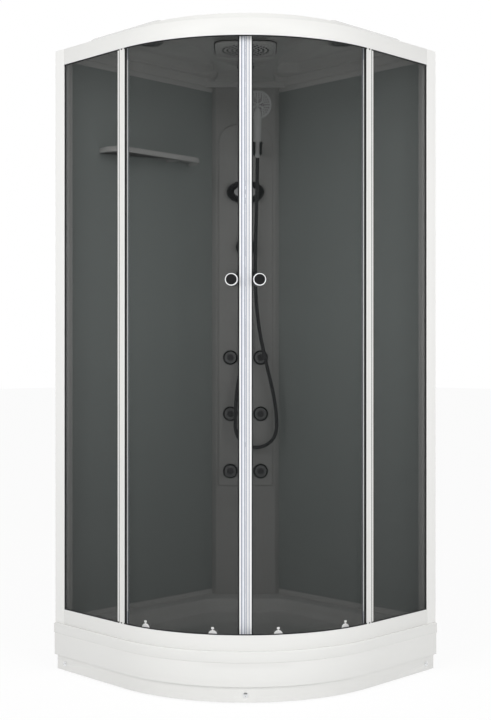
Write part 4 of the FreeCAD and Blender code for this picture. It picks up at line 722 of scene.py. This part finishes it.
def make_stage():
    fresh()
    bpy.ops.mesh.primitive_plane_add(size=FLOOR_SIZE, location=(0, 0, FLOOR_HEIGHT))
    floor = bpy.context.object
    floor.name = "floor"
    wear(floor, white_light_floor())
    floor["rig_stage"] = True


def make_dark_card():
    """The dim room behind the camera. It shows only in the chrome and the glass."""
    fresh()
    bpy.ops.mesh.primitive_plane_add(size=1)
    card = bpy.context.object
    card.name = "dark_card"
    card.scale = CARD_SIZE
    bpy.ops.object.transform_apply(scale=True)
    turn = TO_CORNER.to_track_quat("Z", "Y").to_matrix().to_4x4()
    placed(card, Matrix.Translation(CARD_PLACE) @ turn)
    wear(card, GASKET)
    card.visible_camera = False
    card.visible_diffuse = False
    card.visible_transmission = False
    card.visible_shadow = False
    card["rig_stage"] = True


def make_world():
    """White behind the cabin and in its glass and chrome, and a softer light on everything."""
    world = bpy.data.worlds.new("world")
    bpy.context.scene.world = world
    world.use_nodes = True
    nodes = Nodes(world.node_tree)
    light = nodes.amount("ShaderNodeBackground", sockets={"Color": WORLD_TINT, "Strength": WORLD_LIGHT})
    white = nodes.amount("ShaderNodeBackground", sockets={"Color": PURE_WHITE, "Strength": 1.0})
    seen, mirrored, passed = nodes.light_rays("Camera", "Glossy", "Transmission")
    mixed = nodes.mixed((seen + mirrored + passed).held(), light, white)
    nodes.node("ShaderNodeOutputWorld", sockets={"Surface": mixed})


def make_lamp(name, place, power):
    data = bpy.data.lights.new(name, "AREA")
    data.shape = "RECTANGLE"
    data.size = data.size_y = LAMP_SIDE
    data.energy = power
    lamp = bpy.data.objects.new(name, data)
    bpy.context.scene.collection.objects.link(lamp)
    lamp.location = place
    lamp.rotation_mode = "QUATERNION"
    lamp.rotation_quaternion = (LAMP_TARGET - place).to_track_quat("-Z", "Y")
    lamp.visible_camera = False
    lamp.visible_glossy = False


bpy.context.scene.view_settings.view_transform = "Standard"
make_world()
make_stage()
make_dark_card()
for name, (place, power) in LAMPS.items():
    make_lamp(name, place, power)

# ------------------------------------------------------------------ eased frame pieces
# The width in mm by which each frame piece's sharp edges are rounded
EASED = {
    "tray": 2.0, "apron": 1.0, "roof": 1.2, "corner_column": 1.2, "shelf": 1.5, "wall_frames": 0.8,
    "left_wall_panel": 0.4, "right_wall_panel": 0.4, "top_rail": 0.7, "bottom_rail": 0.7,
    "left_jamb": 0.7, "right_jamb": 0.7, "left_post": 0.5, "right_post": 0.5,
    "left_roller_brackets": 0.7, "right_roller_brackets": 0.7, "base_frame": 0.8, "levelling_feet": 0.6,
    "waste_trap": 0.6, "waste_cover": 0.6, "ceiling_grilles": 0.3, "fan_impeller": 0.2,
    "mixer_body": 0.8, "pipework": 0.3, "steam_generator": 1.0, "steam_outlet": 0.5,
    "holder_bracket": 0.5, "shower_cradle": 0.5, "hose_outlet": 0.5, "apron_screws": 0.3,
}
for side in ("left", "right"):
    for end in ("front", "rear"):
        EASED["%s_upper_wheel_%s" % (side, end)] = 0.3
        EASED["%s_lower_guide_%s" % (side, end)] = 0.4
for node, width in EASED.items():
    eased(node, width)


# ------------------------------------------------------------------ beads and gaskets of the front, with strips of painted highlight and shadow
FRAME_GASKET = ("cabin", GASKET, "nozzle_grey")
FRAME_WHITE = ("cabin", MATERIALS["white_frame"], "white_frame")
FRAME_HIGHLIGHT_BEAD = ("cabin", MATERIALS["white_plastic"], "white_plastic")
# Heights, and gaps from the room's wall, in mm
JAMB_GAP = 47.3
TOP_LIP, BOTTOM_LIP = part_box("top_rail")[0].z / MM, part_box("bottom_rail")[1].z / MM
POST_NEAR = (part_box("left_post")[0].x + HALF) / MM
POST_FAR = (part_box("left_post")[1].x + HALF) / MM

# Strips along the whole front: outer and inner inset, foot, head and rounding
FRONT_STRIPS = {
    # Painted highlight: the lip beads are whiter plastic strips that stand for the bright rounded edges of
    # the rails' lips
    "top_lip_highlight_bead": (5.4, 8.2, TOP_LIP - 0.6, TOP_LIP + 1.9, 0.9, FRAME_HIGHLIGHT_BEAD),
    "bottom_lip_highlight_bead": (5.4, 8.2, BOTTOM_LIP - 1.9, BOTTOM_LIP + 0.6, 0.9, FRAME_HIGHLIGHT_BEAD),
    # The black gaskets behind the rails' lips are real, and also paint the shadow gap between the lips and
    # the glass
    "top_gasket_shadow": (9.6, 11.8, TOP_LIP - 3.4, TOP_LIP + 4.0, 0.5, FRAME_GASKET),
    "bottom_gasket_shadow": (9.6, 11.8, BOTTOM_LIP - 4.0, BOTTOM_LIP + 3.4, 0.5, FRAME_GASKET),
}
for name, (outer, inner, low, high, rounding, look) in FRONT_STRIPS.items():
    finished(front_strip(name, outer, inner, low, high, rounding), *look)

# Upright strips of the straight sides: nearest and farthest from the wall, outer and inner inset
SIDE_STRIPS = {
    "jamb_gasket": (JAMB_GAP, 51.5, 9.6, 11.8, FRAME_GASKET),
    "post_gasket": (POST_NEAR - 2.2, POST_NEAR - 0.2, 9.8, 11.8, FRAME_GASKET),
    "post_cover_strip": (POST_NEAR - 9.6, POST_NEAR - 2.3, 10.2, 11.8, FRAME_WHITE),
    "post_outer_line": (POST_NEAR - 12.0, POST_NEAR - 9.8, 10.8, 11.8, FRAME_GASKET),
    # Painted shadow: the black strip beside each post's inner edge stands for the shadow gap between the
    # post and the door glass
    "post_inner_shadow_strip": (POST_FAR + 0.2, POST_FAR + 3.2, 12.0, 19.0, FRAME_GASKET),
}
for name, (near, far, outer, inner, look) in SIDE_STRIPS.items():
    strip = side_bar("left_" + name, near, far, outer, inner, BOTTOM_LIP - 2, TOP_LIP + 2, 0.4)
    finished(mirrored(strip, "right_" + name), *look)
    finished(strip, *look)

# ------------------------------------------------------------------ sliding doors
DOOR_SIDES = {"left": -1, "right": 1}
# Insets and heights in mm, angles in degrees from the front's centre
GLASS_OUTSIDE, GLASS_INSIDE = 33.0, 38.0
SEAL_OUTSIDE, SEAL_INSIDE = GLASS_OUTSIDE - 1.7, GLASS_INSIDE + 1.7
SEAL_LOW, SEAL_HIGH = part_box("left_door_seals")[0].z / MM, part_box("left_door_seals")[1].z / MM
KNOB_ANGLE, KNOB_HEIGHT = 4.55, middle("left_door_knob").z / MM
# Across each seal: magnet strips, white beads and a black strip of painted shadow at the glass's edge
SEAL_MAGNETS = {"left": [(0.12, 0.38), (1.1, 1.42)], "right": [(0.3, 0.5), (1.1, 1.32)]}
SEAL_BEADS = {"left": [(1.5, 2.02)], "right": [(0.56, 1.02), (1.4, 2.0)]}
EDGE_SHADOW_STRIPS = {"left": (2.08, 2.55), "right": (2.08, 2.4)}


def seal_pieces(side, sign):
    """The magnetic head between the doors, its lips on the glass, and the trailing seal."""
    head, lips, tail, tail_lips = (0.04, 1.72), (1.72, 2.05), (46.54, 46.74), (45.72, 46.54)
    whole = (SEAL_OUTSIDE, SEAL_INSIDE)
    outer_lip, inner_lip = (SEAL_OUTSIDE, GLASS_OUTSIDE - 0.1), (GLASS_INSIDE + 0.1, SEAL_INSIDE)
    bars = [
        (*head, *whole), (*lips, *outer_lip), (*lips, *inner_lip),
        (*tail, *whole), (*tail_lips, *outer_lip), (*tail_lips, *inner_lip),
    ]
    pieces = []
    for number, (start, end, outer, inner) in enumerate(bars):
        low, high = sorted((sign * start, sign * end))
        name = "%s_seal_%d" % (side, number)
        pieces.append(curved_bar(name, low, high, outer, inner, SEAL_LOW, SEAL_HIGH, 0.25))
    return pieces


def make_seals(side, sign):
    """A door's milky seals, with the strips that lie on their front and a black strip of painted shadow
    beside them.
    """
    body = side + "_door"
    seal = joined(seal_pieces(side, sign))
    seal.name = side + "_seals"
    finished(seal, body, MATERIALS["clear_seal"], "clear_seal", [side + "_door_seals"])
    face = SEAL_OUTSIDE - 0.02
    looks = [(SEAL_MAGNETS[side], 0.25, SEAL_MAGNET, "nozzle_grey"),
             (SEAL_BEADS[side], 0.7, MATERIALS["white_plastic"], "white_plastic")]
    for strips, proud, material, slot in looks:
        for number, (start, end) in enumerate(strips):
            low, high = sorted((sign * start, sign * end))
            name = "%s_%s_strip_%d" % (side, slot, number)
            strip = curved_bar(name, low, high, face - proud, face, SEAL_LOW + 1, SEAL_HIGH - 1, 0.1)
            finished(strip, body, material, slot)
    # Painted shadow: a black strip on the glass beside the seal stands for the shadow line at their border
    low, high = sorted(sign * angle for angle in EDGE_SHADOW_STRIPS[side])
    shadow_strip = curved_bar(side + "_edge_shadow_strip", low, high, GLASS_OUTSIDE - 0.5, GLASS_OUTSIDE - 0.02,
                      SEAL_LOW + 1, SEAL_HIGH - 1)
    finished(shadow_strip, body, GASKET, "nozzle_grey")


def make_knob(side, sign):
    """Chrome mushroom knobs on both faces of the door's glass, on one bolt."""
    rings = [(9, 0.1), (9, 1.6), (8.4, 2.2), (7.5, 3.6), (7.3, 7.6), (8.4, 8.8), (16, 12), (19.4, 15.6),
             (20, 17.4), (20, 20.4), (19.4, 22.6), (18.2, 24.1), (16.6, 24.9), (15, 25.1), (14.4, 24.9),
             (13.6, 24.9), (8, 25.2), (3, 25.3)]
    outside = turned(side + "_knob", rings)
    turned_in = Matrix.Rotation(math.radians(180), 4, "X")
    behind = facing_front(sign * KNOB_ANGLE, GLASS_INSIDE + 0.4, KNOB_HEIGHT) @ turned_in
    inside = copied(outside, side + "_knob_inside", behind)
    placed(outside, facing_front(sign * KNOB_ANGLE, GLASS_OUTSIDE, KNOB_HEIGHT))
    bolt = turned(side + "_knob_bolt", [(4, -0.4), (4, 5.8)], 24)
    placed(bolt, facing_front(sign * KNOB_ANGLE, GLASS_INSIDE, KNOB_HEIGHT))
    knob = joined([outside, inside, bolt])
    finished(knob, side + "_door", KNOB_CHROME, "chrome", [side + "_door_knob"])


for side, sign in DOOR_SIDES.items():
    make_seals(side, sign)
    make_knob(side, sign)

# ------------------------------------------------------------------ fittings of the column
JET_SIDE, JET_PROUD = 56 * MM, 4 * MM
KEY_SIDE, KEY_TOP, KEY_PITCH = 24.0, 10.8, 7.2


def make_control_panel():
    """Chrome oval bezel round a silver membrane with raised keys and a dark display."""
    rim = drawn_out("panel_bezel", [
        (69.0, 41.5, 0.1), (70, 42.5, 1.2), (70, 42.5, 13), (68.6, 41.1, 17), (65.4, 38, 19.4),
        (61, 35.4, 20), (54, 30.4, 19.7), (46, 24.6, 18.8), (43, 22.6, 18), (42.6, 22.2, 15.5),
    ], 72)
    shank = turned("panel_shank", [(7.5, -12), (7.5, 0.2)], 24)
    here = facing_out(0, MOUNT_FACE, middle("control_panel").z)
    bezel = placed(joined([rim, shank]), here)
    finished(bezel, "cabin", FITTING_CHROME_SHADED, "chrome", ["control_panel"])
    face = drawn_out("panel_face", [
        (41.6, 21.4, 15.6), (41.6, 21.4, 17.0), (40.8, 20.6, 17.8), (36, 17.5, 18.1), (35, 17, 18),
    ], 72)
    key = turned("panel_key", [(3, 17.8), (3, 18.6), (2.2, 19)], 20)
    keys = []
    for row in range(4):
        for x in (-KEY_SIDE, KEY_SIDE):
            place = Matrix.Translation(Vector((x, KEY_TOP - KEY_PITCH * row, 0)) * MM)
            keys.append(copied(key, "panel_key_%d" % len(keys), place))
    bpy.data.objects.remove(key)
    finished(placed(joined([face] + keys), here), "cabin", MATERIALS["handset"], "handset")
    display = placed(block("panel_display", (-15, -9, 17.6), (15, 9, 18.7), 0.6), here)
    finished(display, "cabin", MATERIALS["lamp_lens"], "lamp_lens")


def in_a_flute(centre, normal):
    """Faces of the knob's grip that lie in one of its eight flutes."""
    round_it = math.atan2(centre.y, centre.x)
    on_grip = 15.2 < centre.z / MM < 29.8 and math.hypot(centre.x, centre.y) / MM > 20
    return on_grip and math.cos(8 * round_it) > 0.35


def make_turning_knob(body):
    """Round chrome knob with eight finger flutes, on its spindle."""
    node = body + "_knob"
    knob = turned(body + "_grip", [
        (4, -38), (4, 1), (33.6, 1), (35, 2), (35, 8), (33.8, 9.4), (29.4, 12), (27.2, 15), (28.2, 22),
        (29, 30), (28.6, 33), (27, 34.8), (23, 35.8), (20, 36), (17.5, 35.2), (16.8, 34.6),
    ], 64)
    edit(knob)
    choose_faces(knob, in_a_flute)
    bpy.ops.mesh.inset(thickness=0.8 * MM, depth=-1.6 * MM)
    bpy.ops.object.mode_set(mode="OBJECT")
    smoothed(knob, 40.0)
    placed(knob, facing_out(0, MOUNT_FACE, middle(node).z))
    finished(knob, body, FITTING_CHROME_SHADED, "chrome", [node])


def make_jets():
    """Six chrome flanges, each with a dark swivelling ball and its rubber nipples."""
    flange = turned("jet_flange_blank", [
        (18, -20), (18, -0.1), (26.8, -0.1), (27.5, 0.6), (27.5, 3.6), (26.9, 5.2), (25.5, 6.5),
        (22.5, 7.1), (21.6, 7.6), (20.5, 9.8), (19.4, 10.8), (17.6, 11.2), (16.2, 11), (15.5, 10.2),
        (15.4, 4), (14.2, -3.5),
    ])
    nut = turned("jet_nut", [(18.2, -19.6), (24, -19.6), (24, -3.2), (18.2, -3.2)], 6)
    flange = joined([flange, nut])
    ball = turned("jet_nozzle", [
        (11.6, -8.9), (13.4, -6.4), (14.6, -3.2), (14.9, 0), (14.6, 3.2), (13.5, 6.3), (12.2, 8.6),
        (9.6, 11.4), (8.6, 11.9), (8.5, 12.8), (7.6, 14), (5, 14.5), (4, 14.6),
    ])
    nipple = turned("jet_nipple", [(1.5, 13.4), (1.4, 15.0), (1.0, 15.4)], 12)
    ball = joined([ball, nipple] + ring_of(nipple, 5.2, 6, Matrix.Identity(4)))
    light_ring = turned("jet_ring", [
        (17.4, 11.0), (17.4, 11.6), (18, 12), (19.4, 11.8), (20.4, 11), (20.8, 10), (20.6, 9.2),
    ])
    flanges, rings = [], []
    for number in range(1, 7):
        node = "jet_nozzle_%d" % number
        side = 1 if number % 2 == 0 else -1     # the odd numbers are on the left
        place = facing_out(side * JET_SIDE, MOUNT_FACE, middle(node).z)
        flanges.append(copied(flange, "jet_flange", place))
        rings.append(copied(light_ring, "jet_ring", place))
        nozzle = copied(ball, "jet_ball_%d" % number, place @ Matrix.Translation((0, 0, JET_PROUD)))
        finished(nozzle, "nozzle_%d" % number, NOZZLE_SILVER, "nozzle_grey", [node])
    for spare in (flange, ball, light_ring):
        bpy.data.objects.remove(spare)
    finished(joined(flanges), "cabin", FITTING_CHROME_SHADED, "chrome", ["jet_flanges"])
    finished(joined(rings), "cabin", JET_SILVER, "nozzle_grey")


make_control_panel()
make_turning_knob("diverter")
make_turning_knob("mixer")
make_jets()

# ------------------------------------------------------------------ hand shower
HANDSET_LEAN = 18.0
HEAD_REACH, HEAD_FORWARD = 191.0, 4.0         # the head's centre, up the handle and towards its face
HANDSET_FACE = 6.2
# Rings of nozzles on the hand shower's face: radius in mm and count
HANDSET_NOZZLES = ((9, 6), (27, 18), (34, 22), (41, 26))


def handset_frame():
    """The hand shower's own frame: its foot at the origin, its handle up and its face to -y."""
    return at_corner(*(Vector(HOSE_ROUTE[0]) * MM)) @ Matrix.Rotation(math.radians(HANDSET_LEAN), 4, "X")


def make_hand_shower():
    """Silver handle and round head, with rings of dark nozzles round six larger mouths."""
    handle = turned("hand_shower_body", [
        (8.4, 0.02), (9, 0.8), (9.5, 14), (10.5, 15), (11.6, 36), (13, 62), (13.5, 66), (13.5, 100),
        (14.5, 130), (16, 150), (15.6, 160), (13.6, 172), (11.5, 181),
    ], 40)
    head = turned("hand_shower_head", [
        (20, -17.5), (35, -15.8), (43, -11.6), (48.6, -7.4), (51, -3), (51, 1.6), (50.2, 3.6), (48.8, 4.9),
        (46, 5.2), (45.2, 4.3), (44, 4.3), (43, 5.4), (30, 6), (12, HANDSET_FACE),
    ])
    at_head = Matrix.Translation(Vector((0, -HEAD_FORWARD, HEAD_REACH)) * MM)
    at_head = at_head @ Matrix.Rotation(math.radians(90), 4, "X")
    placed(head, at_head)
    body = placed(joined([handle, head]), handset_frame())
    finished(body, "handset", MATERIALS["handset"], "handset", ["hand_shower"])
    face = handset_frame() @ at_head @ Matrix.Translation((0, 0, HANDSET_FACE * MM))
    mouth = turned("handset_mouth", [(5.2, -1.2), (5.2, 0.5), (4.6, 0.9), (3.0, 0.5), (2.8, -0.2)], 20)
    nozzle = turned("handset_nozzle", [(2.0, -0.6), (1.9, 0.8), (1.4, 1.0)], 10)
    dots = ring_of(mouth, 18, 6, face)
    for radius, count in HANDSET_NOZZLES:
        dots += ring_of(nozzle, radius, count, face)
    for spare in (mouth, nozzle):
        bpy.data.objects.remove(spare)
    spray = joined(dots)
    spray.name = "handset_spray"
    finished(spray, "handset", MATERIALS["nozzle_grey"], "nozzle_grey")


make_hand_shower()

# ------------------------------------------------------------------ ceiling
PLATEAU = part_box("ceiling_lamp")[0].z / MM + 6        # the roof's underside, in mm, over the lamp's lens
RAIN_FORWARD = (middle("rain_shower") - ARC).xy.length
LAMP_BACK = (middle("ceiling_lamp") - ARC).xy.length
RAIN_THICK, RAIN_HALF, RAIN_ROUND = 8.0, 100.0, 45.0
RAIN_RINGS, RAIN_PITCH = 5, 15


def rounded_plate(name, half, corner, low, high):
    """A square plate with round corners, left in edit mode with its lower face selected."""
    fresh()
    bpy.ops.mesh.primitive_plane_add(size=2 * half * MM)
    piece = bpy.context.object
    piece.name = name
    piece.location = (0, 0, high * MM)
    bpy.ops.object.transform_apply(location=True)
    bpy.ops.object.mode_set(mode="EDIT")
    bpy.ops.mesh.select_all(action="SELECT")
    bpy.ops.mesh.bevel(offset=corner * MM, segments=12, affect="VERTICES")
    bpy.ops.mesh.select_all(action="SELECT")
    bpy.ops.mesh.extrude_region_move(TRANSFORM_OT_translate={"value": (0, 0, (low - high) * MM)})
    return piece


def make_rain_shower():
    """Overhead shower: a plate with a black ring round its rim as painted shadow of the gap against the
    roof, and rings of rubber nozzles.
    """
    low = PLATEAU - RAIN_THICK
    here = at_front() @ Matrix.Translation((0, -RAIN_FORWARD, 0))
    plate = rounded_plate("rain_plate", RAIN_HALF, RAIN_ROUND, low + 2.5, PLATEAU - 0.1)
    for drop, share in ((1.6, 0.985), (0.8, 0.975)):
        bpy.ops.mesh.extrude_region_move(TRANSFORM_OT_translate={"value": (0, 0, -drop * MM)})
        bpy.ops.transform.resize(value=(share, share, 1), center_override=(0, 0, 0))
    turn_outwards()
    smoothed(plate)
    neck = turned("rain_neck", [(10, PLATEAU - 0.2), (10, PLATEAU + 5.8)], 32)
    plate = placed(joined([plate, neck]), here)
    finished(plate, "cabin", MATERIALS["white_acrylic"], "white_acrylic", ["rain_shower"])
    # Painted shadow: the black ring stands for the shadow gap between the plate and the roof
    shadow_seam = rounded_plate("rain_shadow_seam", RAIN_HALF + 3, RAIN_ROUND + 2, PLATEAU - 2.2, PLATEAU - 0.2)
    turn_outwards()
    finished(placed(shadow_seam, here), "cabin", GASKET, "nozzle_grey")
    nozzle = turned("rain_nozzle", [(3.4, low + 0.4), (3.2, low - 1.6), (2.4, low - 1.9)], 12)
    nozzles = []
    for ring in range(1, RAIN_RINGS + 1):
        nozzles += ring_of(nozzle, RAIN_PITCH * ring, 6 * ring, here)
    bpy.data.objects.remove(nozzle)
    finished(joined(nozzles), "cabin", MATERIALS["nozzle_grey"], "nozzle_grey")


def make_ceiling_lamp():
    """Small round lamp: a chrome rim round a dark lens."""
    here = at_front() @ Matrix.Translation((0, LAMP_BACK, 0))
    rim = turned("lamp_rim", [
        (24.7, PLATEAU + 5), (24.7, PLATEAU - 0.1), (30.6, PLATEAU - 0.1), (31, PLATEAU - 0.8),
        (30.4, PLATEAU - 3.2), (28.6, PLATEAU - 4.6), (26, PLATEAU - 5), (24.6, PLATEAU - 4.6),
        (24.4, PLATEAU - 3),
    ])
    finished(placed(rim, here), "cabin", MATERIALS["dark_chrome"], "dark_chrome")
    lens = turned("lamp_lens", [
        (24.2, PLATEAU - 2.8), (24, PLATEAU - 4.2), (20, PLATEAU - 5.3), (12, PLATEAU - 5.9),
        (5, PLATEAU - 6),
    ])
    finished(placed(lens, here), "cabin", MATERIALS["lamp_lens"], "lamp_lens", ["ceiling_lamp"])


make_rain_shower()
make_ceiling_lamp()

# ------------------------------------------------------------------ the hose
HOSE_DIAMETER = 0.014
RIB_PITCH = 4.0


def hose_line():
    """The route as one smooth spline in the row frame."""
    data = bpy.data.curves.new("shower_hose_line", "CURVE")
    data.dimensions = "3D"
    spline = data.splines.new("NURBS")
    spline.points.add(len(HOSE_ROUTE) - 1)
    for point, place in zip(spline.points, HOSE_ROUTE):
        point.co = (*at_corner(*(Vector(place) * MM)).translation, 1.0)
    spline.order_u = 3
    spline.use_endpoint_u = True
    data.resolution_u = 12
    line = bpy.data.objects.new("shower_hose_line", data)
    bpy.context.scene.collection.objects.link(line)
    return line


def make_hose():
    """Ribbed metal hose: one rib, repeated to the route's length and bent along it."""
    line = hose_line()
    wide = HOSE_DIAMETER / 2 / MM
    rib = [(wide - 1.1, 0), (wide - 0.2, 0.7), (wide - 0.05, 2), (wide - 0.2, 3.3), (wide - 1.1, RIB_PITCH)]
    hose = turned("metal_hose", rib, 16)
    edit(hose)
    choose_faces(hose, lambda centre, normal: abs(normal.z) > 0.9)
    bpy.ops.mesh.delete(type="ONLY_FACE")
    bpy.ops.object.mode_set(mode="OBJECT")
    placed(hose, Matrix.Rotation(math.radians(90), 4, "Y"))
    applied(hose, "ARRAY", fit_type="FIT_CURVE", curve=line, use_relative_offset=False,
            use_constant_offset=True, constant_offset_displace=(RIB_PITCH * MM, 0, 0),
            use_merge_vertices=True, merge_threshold=0.0001)
    applied(hose, "CURVE", object=line, deform_axis="POS_X")
    edit(hose)
    closed(hose, 50.0)
    take(line)
    bpy.ops.object.convert(target="MESH")
    bpy.data.objects.remove(line)
    finished(hose, "cabin", HOSE_METAL, "dark_chrome", ["shower_hose"])


make_hose()

# ------------------------------------------------------------------ size and end
low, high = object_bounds()
